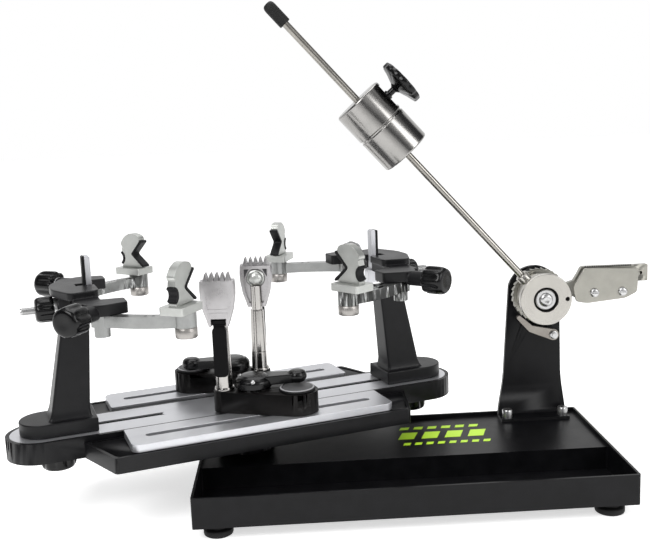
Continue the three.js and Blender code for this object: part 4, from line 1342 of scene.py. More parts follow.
@dataclass
class Tower(Assembly):
    """One tower, drawn for the right side: post, head, support, knobs, and two arms with their jaws."""

    name: str
    side: int
    out: float
    spread: float
    heading: float
    front_turn: float
    shoe_low: float = 110.3
    shoe_top: float = 127.3
    shoe_inner: float = 192.0
    shoe_centre: float = 253.0
    shoe_half: float = 30.0
    post_top: float = 244.0
    flare: float = 3.0
    bar_low: float = 266.0
    bar_top: float = 279.0
    lid_top: float = 287.0
    pivot_out: float = 186.0
    pivot_across: float = 88.0
    arm_length: float = 100.0
    arm_heading: float = 150.0
    arm_half: float = 7.5
    arm_bulge: float = 7.0
    arm_low: float = 252.3
    arm_high: float = 265.5
    spindle_height: float = 261.0
    thread_pitch: float = 1.25
    thread_turns: int = 58
    centre_knob_out: float = 230.0
    side_knob_height: float = 270.0
    side_knob_out: float = 39.3
    lock_knob_out: float = 240.0
    lock_knob_top: float = 83.7
    jaw_low: float = 270.0
    jaw_foot_top: float = 279.0

    @property
    def place(self) -> Matrix:
        """From the tower's own frame to the scene."""
        return TABLE @ at(self.side * self.out)

    def build(self) -> None:
        """Builds every piece of the tower."""
        self.post()
        self.head()
        self.support()
        self.centre_knob()
        self.lock_knob()
        for place, sy in ENDS:
            self.side_knob(place, sy)
            self.arm(place, sy)
            self.jaw(place, sy)

    def dress_own(
        self, part: str, form: Form, finish: Finish, body: str, slot: str, node: str = "",
        ease: Optional[Ease] = None, across: int = 1,
    ) -> None:
        """Makes a piece of a form drawn for the right tower. An across of -1 takes it to the front."""
        self.dress(part, form.mirrored(self.side, across), self.place, finish, body, slot, node, ease)

    def post(self) -> None:
        """Tapered cast post on its shoe."""
        half, inner = self.shoe_half, self.shoe_inner
        nose = arc(half, self.shoe_centre, 0, -90, 90, 48)
        shoe = Form.prism([(inner, -half), *nose, (inner, half)], self.shoe_low, self.shoe_top)
        rings = []
        for share in (0, 0.04, 0.1, 0.3, 0.6, 1):
            flare = self.flare * max(0.0, 1 - share / 0.1) ** 2
            wide = mix(19, 15, share) + flare
            outline = rectangle(mix(200, 191, share) - flare, mix(247, 224, share) + flare, -wide, wide)
            rings.append((mix(self.shoe_top - 1, self.post_top, share), softened(outline, 4.0)))
        body = shoe.joined(Form.lofted(rings))
        self.dress_own("tower_post", body, CAST_BLACK, "tower_body", "black_casting", "tower", Ease(1.6, 3, 28))

    def head(self) -> None:
        """Cast head: neck, crossbar, lid, the lobes over the arms' pivots and the knobs' bosses."""
        out, across, low, top = self.pivot_out, self.pivot_across, self.bar_low, self.bar_top
        lid = softened([(181, -49), (216, -57), (233, -16), (233, 16), (216, 57), (181, 49)], 8)
        parts = [
            Form.block(204, 226, -17, 17, self.post_top + 0.3, top),
            Form.block(183, 212, -across, across, low, top),
            Form.prism(lid, top - 1, self.lid_top),
        ]
        for sy in (-1, 1):
            shoulder = rectangle(157, 188, *sorted((sy * 72, sy * 99)))
            lobe = hull(circle(19, out, sy * across) + shoulder)
            parts.append(Form.prism(softened(lobe, 3, 3), low, top + 0.4))
            parts.append(self.knob_side(Form.round(9.5, 14, 37), sy))
        holes = [Form.block(168, 203, -7, 7, low - 6, self.lid_top + 3)]
        holes += [Form.round(5.6, low - OVERRUN, 276.8, out, sy * across) for sy in (-1, 1)]
        holes.append(Form.round(4.9, 202, 228).along_x(z=self.spindle_height))
        body = parts[0].joined(*parts[1:]).cut(*holes).melted(0.75, 5, 0.35)
        self.dress_own("head_casting", body, CAST_BLACK, "tower_body", "black_casting", "head")

    def knob_side(self, form: Form, sy: int) -> Form:
        """Lays an upright form along a side knob's axis."""
        turn = about("Z", sy * self.heading)
        return form.placed(at(self.pivot_out, sy * self.pivot_across, self.side_knob_height) @ turn @ ALONG_X)

    def support(self) -> None:
        """Upright plate that the frame's head rests on, with its threaded spindle and a black strip along its
        outer side, painted as that side's dark reflection.
        """
        outline = [
            (178, 250), (190.4, 250), (190.4, 321), (189.4, 322), (186, 322), (184, 320), (184, 270),
            (178, 267),
        ]
        plate = Form.prism(softened(outline, 1.2, 3), -6, 6).stood()
        # Painted shade: a black strip along the plate's outer side stands in for the dark reflection that side
        # shows.
        outline = [(190.7, 250), (194, 250), (194, 321), (190.7, 322)]
        painted_dark_side = Form.prism(softened(outline, 1.0, 3), -6, 6).stood()
        thread = [(0, 193)]
        for turn in range(self.thread_turns):
            start = 194 + turn * self.thread_pitch
            thread += [(4.1, start), (4.5, start + 0.4), (4.5, start + 0.7), (4.1, start + 1.1)]
        thread += [(4.2, 268), (3.6, 269), (0, 269)]
        spindle = Form.turned(thread, steps=32).along_x(z=self.spindle_height)
        body = "support_body"
        self.dress_own("support_plate", plate, RAIL_SILVER, body, "satin_alloy", "support", Ease(0.8, 2))
        self.dress_own("support_backing", painted_dark_side, MATT_BLACK, body, "satin_alloy", ease=Ease(0.6, 2))
        self.dress_own("spindle", spindle, SCREW_STEEL, body, "satin_alloy")

    def centre_knob(self) -> None:
        """Fluted knob on the spindle, with its washer."""
        out = self.centre_knob_out
        knob = grip(15.5, 22).cut(Form.round(4.8, -OVERRUN, 24))
        knob.placed(at(0, 0, self.spindle_height) @ ALONG_X @ at(0, 0, out))
        washer = Form.turned([(4.8, out - 3.7), (13, out - 3.7), (13, out + 0.3), (4.8, out + 0.3)])
        washer.along_x(z=self.spindle_height)
        body = "centre_knob_body"
        self.dress_own("centre_grip", knob, GLOSS_BLACK, body, "knob_plastic", "centre_knob")
        self.dress_own("centre_washer", washer, SCREW_STEEL, body, "satin_alloy", ease=Ease(0.5, 2))

    def lock_knob(self) -> None:
        """Knob under the casting that locks the tower, with its stud."""
        knob = grip(21, 21).placed(at(self.lock_knob_out, 0, self.lock_knob_top) @ about("X", 180))
        stud = Form.round(3.7, 82, 122, self.lock_knob_out)
        self.dress_own("lock_grip", knob, GLOSS_BLACK, "lock_knob_body", "knob_plastic", "lock_knob")
        self.dress_own("lock_stud", stud, SCREW_STEEL, "lock_knob_body", "satin_alloy")

    def side_knob(self, place: str, sy: int) -> None:
        """Fluted knob that locks an arm, with its collar.

        Args:
            place: Front or rear.
            sy: -1 for the front and 1 for the rear.
        """
        node = f"{place}_side_knob"
        body = f"{node}_body"
        knob = self.knob_side(grip(17.5, 29).moved(z=self.side_knob_out), 1)
        collar = Form.turned([(0, 5.4), (4, 5.4), (4, 37.3), (9.5, 37.3), (9.5, 41), (0, 41)])
        self.knob_side(collar, 1)
        self.dress_own(f"{node}_grip", knob, GLOSS_BLACK, body, "knob_plastic", node, across=sy)
        self.dress_own(f"{node}_collar", collar, SCREW_STEEL, body, "satin_alloy", ease=Ease(0.5, 2), across=sy)

    def arm_end(self) -> Point:
        """Where the arm's far end lies, unmirrored.

        Returns:
            The place from the table's middle.
        """
        heading = math.radians(self.arm_heading - self.spread)
        return (
            self.pivot_out + self.arm_length * math.cos(heading),
            self.pivot_across + self.arm_length * math.sin(heading),
        )

    def bow(self, share: float) -> float:
        """How far the arm's middle line bulges at a share of its length."""
        return self.arm_bulge * 4 * share * (1 - share)

    def arm(self, place: str, sy: int) -> None:
        """Curved bar between the pivot in the head and the round end under the jaw.

        Args:
            place: Front or rear.
            sy: -1 for the front and 1 for the rear.
        """
        span, low, high, hand = self.arm_length, self.arm_low, self.arm_high, self.side * sy
        shares = [i / 40 for i in range(41)]
        outer, inner = (
            [(span * share, -hand * (offset + self.bow(share))) for share in shares]
            for offset in (self.arm_half, -self.arm_half)
        )
        body = Form.prism(outer + inner[::-1], low, high).joined(
            Form.round(12, low, high),
            Form.round(5, high - OVERRUN, 276.5),
            Form.round(9, 240, low + OVERRUN),
            Form.round(12.5, low, 269.7, span),
        )
        body.cut(Form.round(6.3, low - OVERRUN, 272, span), *[
            Form.round(1.9, high - 4, high + 1, span * share, -hand * self.bow(share), steps=24)
            for share in (0.56, 0.65)
        ])
        x, y = self.arm_end()
        heading = math.degrees(math.atan2(sy * (y - self.pivot_across), self.side * (x - self.pivot_out)))
        spot = self.place @ at(self.side * self.pivot_out, sy * self.pivot_across) @ about("Z", heading)
        node = f"{place}_arm"
        self.dress(f"{node}_bar", body, spot, ARM_SILVER, f"{node}_body", "satin_alloy", node, Ease(0.9))

    def jaw(self, place: str, sy: int) -> None:
        """Swivel jaw: hourglass cheek on its foot, with its nut and its rubber linings.

        Args:
            place: Front or rear.
            sy: -1 for the front and 1 for the rear.
        """
        x, y = self.arm_end()
        turn = self.front_turn if sy < 0 else 0.0
        facing = math.degrees(math.atan2(-sy * y, -self.side * (x + self.out))) + turn
        spot = self.place @ at(self.side * x, sy * y) @ about("Z", facing)
        top = self.jaw_foot_top
        foot = Form.prism(softened(rectangle(-29, 15, -15, 15), 3), self.jaw_low, top)
        mouth = [(14.5, 0), (-6.7, 18.7), (12.3, 38.9)]
        back = [(7.3, 45.6), (-6.7, 48), (-18.5, 42.2), (-26.3, 31.7)]
        outline = softened([*mouth, *back], 5.0)[len(mouth):]
        notch = arc(11, -29, 13, 62, -62, 20)
        cheek = Form.prism([(-23.8, 0), *outline, *notch], -5, 5).stood(z=top - 0.2)
        pin = Form.turned([
            (0, 240), (11.6, 240), (12.5, 241), (12.5, 251), (11.6, 252), (6, 252), (6, 271), (0, 271),
        ])
        strip = [(15.0, 0.4), (17.5, 3.2), (-1.7, 18.7), (15.6, 36.3), (12.8, 38.9), (-6.25, 18.7)]
        pad = Form.prism(softened(strip, 3.0), -6, 6).stood(z=top)
        outer, inner = arc(10.8, -29, 13, 58, -58, 20), arc(7.4, -29, 13, -62, 62, 20)
        lining = Form.prism(outer + inner, -6, 6).stood(z=top)
        jaw = f"{place}_jaw"
        for part, form, finish, slot, node, ease in (
            ("cheek", foot.joined(cheek), JAW_SILVER, "satin_alloy", jaw, Ease(1.3, 3, 32)),
            ("pin", pin, NUT_STEEL, "satin_alloy", "", None),
            ("mouth_pad", pad, PAD_RUBBER, "pad_rubber", f"{jaw}_pad", Ease(0.7, 2)),
            ("rear_pad", lining, PAD_RUBBER, "pad_rubber", "", Ease(0.6, 2)),
        ):
            self.dress(f"{jaw}_{part}", form, spot, finish, f"{jaw}_body", slot, node, ease)


# String clamps


@dataclass
class Clamp(Assembly):
    """One string clamp: slider, swivelling base, lock lever, post and toothed head."""

    name: str
    side: int
    slider_place: Point = (47.0, 79.0)
    floor: float = 113.1
    base_top: float = 139.7
    cap_top: float = 143.0
    post_back: float = 81.0
    post_aside: float = 46.0
    head_turn: float = -22.0
    lever_back: float = 47.0
    lever_aside: float = 31.0
    handle_end: Point = (6.0, 16.0)
    head_low: float = 226.0
    head_tall: float = 57.0
    head_half: float = 21.5
    crown_power: float = 7.0
    jaw_thick: float = 8.0
    jaw_offset: float = 14.0
    jaw_gap: float = 1.8
    tooth_pitch: float = 6.8
    tooth_tall: float = 9.5
    tooth_count: int = 5
    pin_height: float = 256.0
    bolt_height: float = 265.0
    bolt_gap: float = 0.3
    widths: tuple[Point, ...] = (
        (0.56, 0.0), (0.66, 0.1), (0.88, 0.38), (0.99, 0.66), (1.0, 0.82), (0.97, 1.0),
    )

    @property
    def place(self) -> Matrix:
        """From the slider's frame to the scene."""
        x, y = self.slider_place
        return TABLE @ at(self.side * x, -self.side * y) @ about("Z", 0 if self.side > 0 else 180)

    @property
    def head_place(self) -> Matrix:
        """From the post's frame to the scene."""
        return self.place @ at(-self.post_back, self.post_aside) @ about("Z", self.head_turn)

    def build(self) -> None:
        """Builds every piece of the clamp."""
        self.slider()
        self.base()
        self.lock_lever()
        self.post()
        self.rear_jaw()
        self.front_jaw()
        self.lever()

    def slider(self) -> None:
        """Cap, core and nut of the slider, with a grey disc in the cap's top and a pale ring round the disc
        painted as the rim's highlight.
        """
        low, top = self.floor, self.cap_top
        cap = Form.turned([
            (0, 90), (5.8, 90), (5.8, 100), (3.6, 100), (3.6, low), (10, low), (10, 140), (22, 140),
            (22.7, 140.3), (23, 141), (23, 142.2), (22.6, 142.8), (21.9, top), (0, top),
        ])
        disc = Form.turned([(0, 142.9), (19.6, 142.9), (19.6, 143.6), (19.1, 143.9), (0, top + 1)])
        # Painted highlight: a pale ring round the grey disc.
        rim = Form.turned([
            (19.9, 142.9), (21.7, 142.9), (21.7, 143.6), (21.3, 144), (20.2, 144), (19.9, 143.8),
        ])
        body, slot = "clamp_slider_body", "slider_plastic"
        self.dress("slider_cap", cap, self.place, MATT_BLACK, body, slot, "clamp_slider")
        self.dress("slider_disc", disc, self.place, CAP_GREY, body, slot)
        self.dress("slider_rim", rim, self.place, RIM_HIGHLIGHT_GREY, body, slot)

    def base(self) -> None:
        """Cast base between the slider and the post, with the lever's boss."""
        low, top, post = self.floor, self.base_top, (-self.post_back, self.post_aside)
        body = Form.prism(link(26, 14, *post), low, top).joined(
            Form.round(14, low, 140, *post),
            Form.round(21, top - OVERRUN, 142.7, -self.lever_back, self.lever_aside),
        )
        body.cut(Form.round(10.4, low - OVERRUN, top + OVERRUN), Form.round(8.4, 116, 144, *post))
        rider, ease = "clamp_base_body", Ease(1.6, 3, 32)
        self.dress("base_casting", body, self.place, RIM_BLACK, rider, "black_casting", "clamp_base", ease)

    def lock_lever(self) -> None:
        """Domed hub, handle and bulb of the lever that locks the base."""
        x, y = self.handle_end[0] + self.lever_back, self.handle_end[1] - self.lever_aside
        hub = Form.turned([
            (0, 143), (22.8, 143), (23.5, 144), (23.5, 150.6), (22.6, 153.2), (19.4, 156.2), (14.6, 158.6),
            (8, 159.5), (0, 159.5),
        ])
        handle = Form.prism(link(14, 8.5, x, y), 146, 157.5)
        bulb = Form.turned([
            (0, 145), (7, 145.2), (10.8, 147.4), (12.5, 151.2), (12.5, 155), (10.8, 158.8), (7, 160.7),
            (0, 161),
        ])
        lever = hub.along(handle, bulb.moved(x, y)).melted(0.6, 8, 0.45)
        dot = Form.turned([(0, -2), (2.6, -2), (2.6, 0.6), (1.9, 1.2), (0, 1.3)], steps=32)
        inset = dot.copy().placed(about("Z", 156) @ at(17.5, 0, 157.3) @ about("Y", 32))
        dots = dot.placed(about("Z", -109) @ at(21.8, 0, 154) @ about("Y", 52)).along(inset)
        for form in (lever, dots):
            form.moved(-self.lever_back, self.lever_aside)
        body = "lock_lever_body"
        self.dress("lock_handle", lever, self.place, GLOSS_BLACK, body, "knob_plastic", "lock_lever")
        self.dress("lock_screws", dots, self.place, SCREW_STEEL, body, "bright_steel")

    def post(self) -> None:
        """Chrome post with its collar, its ring line and the domed bolt behind the jaws."""
        stem = Form.turned([
            (0, 116.3), (8, 116.3), (8, 140.3), (12, 140.3), (12.5, 140.8), (12.5, 143.4), (12, 144),
            (10.7, 144), (10.25, 165.4), (9.8, 165.8), (9.8, 166.6), (10.2, 167), (8.9, 221.5),
            (8.7, 223.2), (7.25, 224), (7.2, 255.6), (6.8, 256), (0, 256),
        ])
        dome = Form.turned([
            (0, 0), (12.5, 0), (12.5, 1.6), (12, 2.5), (10.6, 3.2), (9.9, 3.5), (9.5, 4.5), (8.6, 6),
            (7, 7.4), (5, 8.4), (2.5, 8.9), (0, 9),
        ]).along_y(y=self.bolt_gap - self.jaw_faces(rear=True)[0], z=self.bolt_height)
        self.dress("post_stem", stem, self.head_place, CHROME, "clamp_head", "polished_chrome", "clamp_post")
        self.dress("post_bolt", dome, self.head_place, JAW_SILVER, "clamp_head", "bright_steel")

    def jaw_faces(self, rear: bool) -> Point:
        """How far a jaw's back and front lie before the post.

        Args:
            rear: Whether it is the rear jaw.

        Returns:
            The back's distance and the front's.
        """
        if rear:
            front = self.jaw_offset - self.jaw_gap / 2
            return front - self.jaw_thick, front
        back = self.jaw_offset + self.jaw_gap / 2
        return back, back + self.jaw_thick

    def half_at(self, height: float) -> float:
        """Half of a jaw's width at a height."""
        return at_height(self.widths, (height - self.head_low) / self.head_tall) * self.head_half

    def shield(self, back: float, front: float) -> Form:
        """Jaw body between two distances from the post, wider at the top, its faces slightly crowned.

        Args:
            back: Distance of its back.
            front: Distance of its front.

        Returns:
            The form.
        """
        middle, half = (back + front) / 2, (front - back) / 2
        rings = []
        for i in range(25):
            height = self.head_low + i / 24 * self.head_tall
            outline = rounded_section(self.half_at(height), half, self.crown_power)
            rings.append((height, [(x, y - middle) for x, y in outline]))
        return Form.lofted(rings)

    def face(self, inset: float, low: float, high: float) -> list[Point]:
        """A jaw's outline as seen from its face, drawn in by an inset, between two heights.

        Args:
            inset: How far it is drawn in.
            low: The lower height.
            high: The upper height.

        Returns:
            The outline.
        """
        heights = [low + (high - low) * i / 16 for i in range(17)]
        right = [(self.half_at(height) - inset, height) for height in heights]
        return right + [(-x, height) for x, height in right[::-1]]

    def teeth(self, back: float, front: float) -> Form:
        """Row of pointed teeth along a jaw's top.

        Args:
            back: Distance of the jaw's back.
            front: Distance of its front.

        Returns:
            The form.
        """
        pitch, tall, half = self.tooth_pitch, self.tooth_tall, (front - back) / 2
        root, tip = pitch * 0.47, pitch * 0.07
        levels = ((-0.6, root, 0.5), (0.0, root, 0.5), (tall * 0.55, root * 0.5, 0.9), (tall, tip, 1.6))
        tooth = Form.lofted([
            (height, rectangle(-wide, wide, -half + inset, half - inset)) for height, wide, inset in levels
        ])
        ROW.grow(tooth, CAST_SILVER, Count=self.tooth_count, Pitch=(pitch, 0.0, 0.0))
        first = -(self.tooth_count - 1) / 2 * pitch
        return tooth.moved(first, -(back + front) / 2, self.head_low + self.head_tall)

    def dress_jaw(self, node: str, shield: Form, body: str, faces: Point) -> None:
        """Makes a jaw's body and its teeth.

        Args:
            node: The jaw's node.
            shield: Its body.
            body: The moving body.
            faces: Distances of its back and front.
        """
        place, slot = self.head_place, "clamp_alloy"
        self.dress(f"{node}_shield", shield, place, CAST_SILVER, body, slot, node, Ease(0.9, 3, 35))
        self.dress(f"{node}_teeth", self.teeth(*faces), place, CAST_SILVER, body, slot, ease=Ease(0.25, 2))

    def rear_jaw(self) -> None:
        """Jaw on the post, hollowed round it, with a raised rim behind, painted shade in the upper corners of
        the hollow behind the rim, and the guide pin.
        """
        back, front = self.jaw_faces(rear=True)
        foot, top = self.head_low, self.head_low + self.head_tall
        opening = self.face(4.6, foot + 6, top - 4.8)
        rim = Form.prism(self.face(0.7, foot + 0.8, top - 0.8), back - 5, back + OVERRUN, [opening]).stood()
        body = self.shield(back, front).joined(rim).cut(Form.round(7.6, 224, 256.3))
        node, rider = "clamp_rear_jaw", "clamp_head"
        self.dress_jaw(node, body, rider, (back, front))
        # Painted shade: thin grey triangles on the back face in the upper corners of the hollow, under the
        # rim's overhang.
        wide, edge = self.half_at(top) - 5.6, top - 5.6
        low, high = back - 0.25, back - 0.02
        left, right = (
            Form.prism([(side * wide, top - 17), (side * wide, edge), (side * 9, edge)][::side], low, high)
            for side in (-1, 1)
        )
        corners = left.along(right).stood()
        self.dress(f"{node}_corners", corners, self.head_place, CAP_GREY, rider, "clamp_alloy")
        pin = Form.round(3, front - OVERRUN, front + self.jaw_gap + 5, steps=32).stood(z=self.pin_height)
        self.dress(f"{node}_pin", pin, self.head_place, SCREW_STEEL, rider, "clamp_alloy")

    def front_jaw(self) -> None:
        """Jaw that closes on the string, with a milled window, a ridge and its lever's slot."""
        back, front = self.jaw_faces(rear=False)
        low = self.head_low
        slot = Form.block(-9.4, 9.4, -front - OVERRUN, -back + OVERRUN, low - OVERRUN, low + 10)
        bore = Form.round(3.4, back - OVERRUN, back + 6.6, steps=32).stood(z=self.pin_height)
        window = softened(rectangle(-13.5, 13.5, low + 22, low + 46), 3.5)
        window = Form.prism(window, front - 0.9, front + OVERRUN)
        ridge = Form.prism(softened(rectangle(-12, 12, low + 14.5, low + 17.5), 1.2), front - 1, front + 0.8)
        body = self.shield(back, front).joined(ridge.stood()).cut(slot, bore, window.stood())
        self.dress_jaw("clamp_front_jaw", body, "clamp_jaw_body", (back, front))

    def lever(self) -> None:
        """Black lever that hangs from the front jaw, with its hinge pin."""
        middle = self.jaw_offset + self.jaw_gap / 2 + self.jaw_thick / 2
        low, jaw, top = self.head_low - 64, self.head_low, self.head_low + 5
        outline = softened(rectangle(-8.8, 8.8, low, jaw - 0.3), 6.5, 8)
        body = Form.prism(outline, middle - 3.8, middle + 3.8).stood().joined(
            Form.block(-7, 7, -middle - 1.8, -middle + 1.8, jaw - OVERRUN, top),
            Form.round(3.5, -8.8, 8.8, steps=40).along_x(y=-middle, z=top),
        )
        node = "clamp_lever"
        self.dress(f"{node}_handle", body, self.head_place, GRIP_BLACK, f"{node}_body", "knob_plastic", node,
                   Ease(1.6, 3, 35))


# Tension head


@dataclass
class WeightArm:
    """Hub, rod, end cap, sliding weight and its knob."""

    hub_front: float = 74.5
    hub_back: float = 92.0
    rod_radius: float = 4.75
    rod_bore: float = 5.1
    rod_start: float = 12.0
    rod_end: float = 500.0
    weight_low: float = 266.5
    weight_high: float = 360.3
    weight_radius: float = 34.4
    seam: Point = (312.6, 317.0)
    knob_height: float = 337.0
    knob_seat: float = 46.5

    def build(self) -> None:
        """Builds every piece that swings with the rod."""
        self.hub()
        self.rod()
        self.weight()
        self.knob()

    def hub(self) -> None:
        """Round hub between the drum and the ratchet, with the rod's socket."""
        front, back, bore = self.hub_front, self.hub_back, self.rod_bore
        ring = Form.turned([
            (BORE, front), (29.6, front), (31, 75.6), (31, 80.6), (30.2, 81.4), (30.2, 84.4), (31, 85.2),
            (31, back - 1), (30, back), (BORE, back),
        ]).along_y()
        make_piece("hub_ring", ring, DRUM, TURNED_FACE, "weight_arm", ["rod_hub"])
        socket = Form.turned([(bore, 26), (8.4, 26), (8.6, 39.8), (7.8, 41), (bore, 41)], steps=48)
        make_piece("rod_socket", socket, ROD, TURNED_FACE, "weight_arm")
        screw = socket_screw(2.6, 1.4).moved(z=7.4).stood(z=30)
        ROW.grow(screw, SCREW_STEEL, Count=2, Pitch=(0.0, 0.0, 6.5))
        make_piece("socket_screws", screw, ROD, SCREW_STEEL, "weight_arm")

    def rod(self) -> None:
        """Ground steel rod and its rubber end cap."""
        radius, start, end, bore = self.rod_radius, self.rod_start, self.rod_end, self.rod_bore
        rod = Form.turned([(0, start), (radius, start), (radius, end - 0.6), (4.2, end), (0, end)], steps=48)
        make_piece("rod_bar", rod, ROD, ROD_CHROME, "weight_arm", ["tension_rod"])
        cap = Form.turned([
            (bore, 492), (7.4, 492), (8, 492.8), (8, 518), (7.7, 521.4), (6.6, 524.2), (4.6, 525.6),
            (2, 526), (0, 526), (0, end + 0.3), (bore, end + 0.3),
        ], steps=64)
        make_piece("rod_end_cap", cap, ROD, FOOT_RUBBER, "weight_arm", ["rod_cap"])

    def weight(self) -> None:
        """Chrome weight of two thick discs that meet in a groove, with a flat for the knob."""
        low, high, radius, bore = self.weight_low, self.weight_high, self.weight_radius, self.rod_bore
        below, above = self.seam
        body = Form.turned([
            (bore, low), (radius - 3, low), (radius - 1, low + 0.9), (radius, low + 2.8), (radius, below),
            (radius - 1.3, below + 1.4), (radius - 1.3, above - 1.4), (radius, above), (radius, high - 2.7),
            (radius - 1, high - 0.9), (radius - 2.8, high), (bore, high),
        ], steps=128)
        middle = self.knob_height
        body.cut(Form.block(radius - 3, 40, -36, 36, middle - 17, middle + 17))
        slot, nodes, ease = "polished_chrome", ["drop_weight"], Ease(0.35, 2, 38)
        make_piece("weight_body_chrome", body, ROD, WEIGHT_STEEL, "weight_body", nodes, ease)

    def knob(self) -> None:
        """Flat fluted knob that locks the weight on the rod."""
        across = at(0, 0, self.knob_height) @ ALONG_X
        shares = [
            (0, 0), (0.3, 0), (0.72, 0.3), (0.97, 0.42), (1, 0.5), (1, 0.88), (0.98, 0.96), (0.93, 1),
            (0.5, 0.95), (0, 0.93),
        ]
        disc = Form.turned(scaled(shares, 31, 15), steps=144)
        knob = FLUTES.grow(
            disc, GLOSS_BLACK, Flutes=12, Depth=0.045, Sharpness=2.2, Fade_from=40.0, Fade_to=41.0,
        ).moved(z=self.knob_seat)
        stem = Form.turned([
            (0, 13), (4, 13), (4, 32), (6.4, 32), (6.4, 35), (4.4, 36), (4.4, 43), (8, 46), (9.5, 49),
            (0, 49),
        ], steps=48)
        body, slot = "weight_knob_body", "knob_plastic"
        for part, form, nodes in (("grip", knob, ["weight_knob"]), ("stem", stem, [])):
            make_piece(f"weight_knob_{part}", form.placed(across), ROD, GLOSS_BLACK, body, nodes)


@dataclass
class Drum:
    """Front disc, ratchet, pawl and the linear gripper."""

    left: float = 237.0
    right: float = 325.0
    top: float = 265.6
    bottom: float = 218.0
    disc_radius: float = 34.5
    marker_out: float = 28.5
    ratchet_front: float = 92.5
    ratchet_thick: float = 8.0
    teeth: int = 30
    tip_radius: float = 36.8
    root_radius: float = 34.6
    rear_faces: Point = (66.5, 74.0)
    front_faces: Point = (60.0, 64.0)
    screw_place: Point = (265.7, 232.0)
    screw_pitch: float = 37.6
    serration_start: float = 254.0
    serration_pitch: float = 3.0
    pawl_back: float = 99.5
    pawl_thick: float = 6.0
    pawl_elbow: Point = (190.0, 178.5)
    pawl_tip: Point = (173.8, 194.6)

    def build(self) -> None:
        """Builds every piece that turns with the drum, and the pawl."""
        self.disc()
        self.ratchet()
        self.rear_plate()
        self.gripper_fittings()
        self.front_plate()
        self.pawl()

    def disc(self) -> None:
        """Bright front disc with its recess and its marker hole, and black sheets painted as shade in the
        recess round the washer and near the marker hole's bottom.
        """
        edge = self.disc_radius
        body = Form.turned([
            (BORE, 61), (16.6, 61), (16.6, 58), (edge - 0.8, 58), (edge, 58.8), (edge, 65.2),
            (edge - 0.8, 66), (BORE, 66),
        ], steps=128).along_y()
        body.cut(Form.round(2.8, 56, 62, steps=32).along_y(self.marker_out))
        nodes, ease = ["drum_flange"], Ease(0.4, 2)
        make_piece("front_disc", body, DRUM, TURNED_FACE, "drum", nodes, ease)
        # Painted shade: a black ring just before the recess floor round the washer, and a black disc near the
        # marker hole's bottom.
        recess = Form.turned([(13.4, 60.7), (16.4, 60.7), (16.4, 60.95), (13.4, 60.95)]).along_y()
        recess.along(Form.round(2.6, 61.2, 61.9, steps=32).along_y(self.marker_out))
        make_piece("disc_recess", recess, DRUM, PAINTED_SHADE_BLACK, "drum")

    def ratchet(self) -> None:
        """Toothed wheel and the boss behind it."""
        wheel = RATCHET.grow(
            Form.round(1, 0, 1, steps=3), PLATE_STEEL, Teeth=self.teeth, Steps=8, Tip_radius=self.tip_radius,
            Root_radius=self.root_radius, Thickness=self.ratchet_thick,
        ).cut(Form.round(BORE, -OVERRUN, self.ratchet_thick + OVERRUN))
        spot = DRUM @ at(0, self.ratchet_front) @ ALONG_Y
        nodes, ease = ["ratchet_wheel"], Ease(0.25, 2, 40)
        make_piece("ratchet_teeth", wheel, spot, PLATE_STEEL, "drum", nodes, ease)
        boss = Form.turned([(BORE, 100.4), (25, 100.4), (25, 106.4), (24.4, 107), (BORE, 107)]).along_y()
        make_piece("ratchet_boss", boss, DRUM, TURNED_FACE, "drum")

    def plate(self, shares: Sequence[Point], faces: Point, reach: float) -> Form:
        """One gripper plate between two depths.

        Args:
            shares: Its outline as shares of the plate's box.
            faces: The two depths.
            reach: Rounding of its corners.

        Returns:
            The form.
        """
        wide, tall = self.right - self.left, self.top - self.bottom
        points = scaled(shares, wide, tall, *from_shaft(self.left, self.bottom))
        return Form.prism(softened(points, reach), 0, faces[1] - faces[0]).stood(faces[1])

    def rear_plate(self) -> None:
        """Rear gripper plate with its ring on the shaft and its tab."""
        front, back = self.rear_faces
        thick = back - front
        shares = [
            (0.15, 1.02), (0.08, 0.78), (-0.02, 0.5), (0.03, 0.16), (0.25, 0.06), (0.8, 0.16), (0.96, 0.3),
            (0.97, 1.01),
        ]
        (x0, z0), (x1, z1), hole = from_shaft(318, 244), from_shaft(339, 266), from_shaft(330, 255)
        body = self.plate(shares, self.rear_faces, 3).joined(
            Form.prism(softened(rectangle(x0, x1, z0, z1), 1.5), 0, thick).stood(back),
            Form.prism(link(10, 10, *from_shaft(246, 240)), 0, thick).stood(back),
            Form.round(17, front, back).along_y(),
        ).cut(
            Form.round(BORE, front - OVERRUN, back + OVERRUN).along_y(),
            Form.round(2.0, front - OVERRUN, back - 3, steps=32).along_y(hole[0], 0, hole[1]),
        )
        make_piece("gripper_back", body, DRUM, PLATE_STEEL, "drum", ["gripper_rear_plate"],
                   Ease(0.6, 2, 35))

    def gripper_fittings(self) -> None:
        """The gripper's two screws and the row of fine teeth along its mouth."""
        x, z = from_shaft(*self.screw_place)
        screw = slotted_screw(6, 3.4)
        ROW.grow(screw, SCREW_STEEL, Count=2, Pitch=(self.screw_pitch, 0.0, 0.0)).stood()
        make_piece("gripper_screws", screw, DRUM @ at(x, 59.7, z), SCREW_STEEL, "drum")
        tooth = Form.prism([(0, 0), (2.7, 0), (1.35, 2.6)], 0, 0.7).stood(66.4)
        ROW.grow(tooth, MATT_BLACK, Count=21, Pitch=(self.serration_pitch, 0.0, 0.0))
        x, z = from_shaft(self.serration_start, self.top)
        make_piece("gripper_serration", tooth, DRUM @ at(x, 0, z - 0.6), MATT_BLACK, "drum")

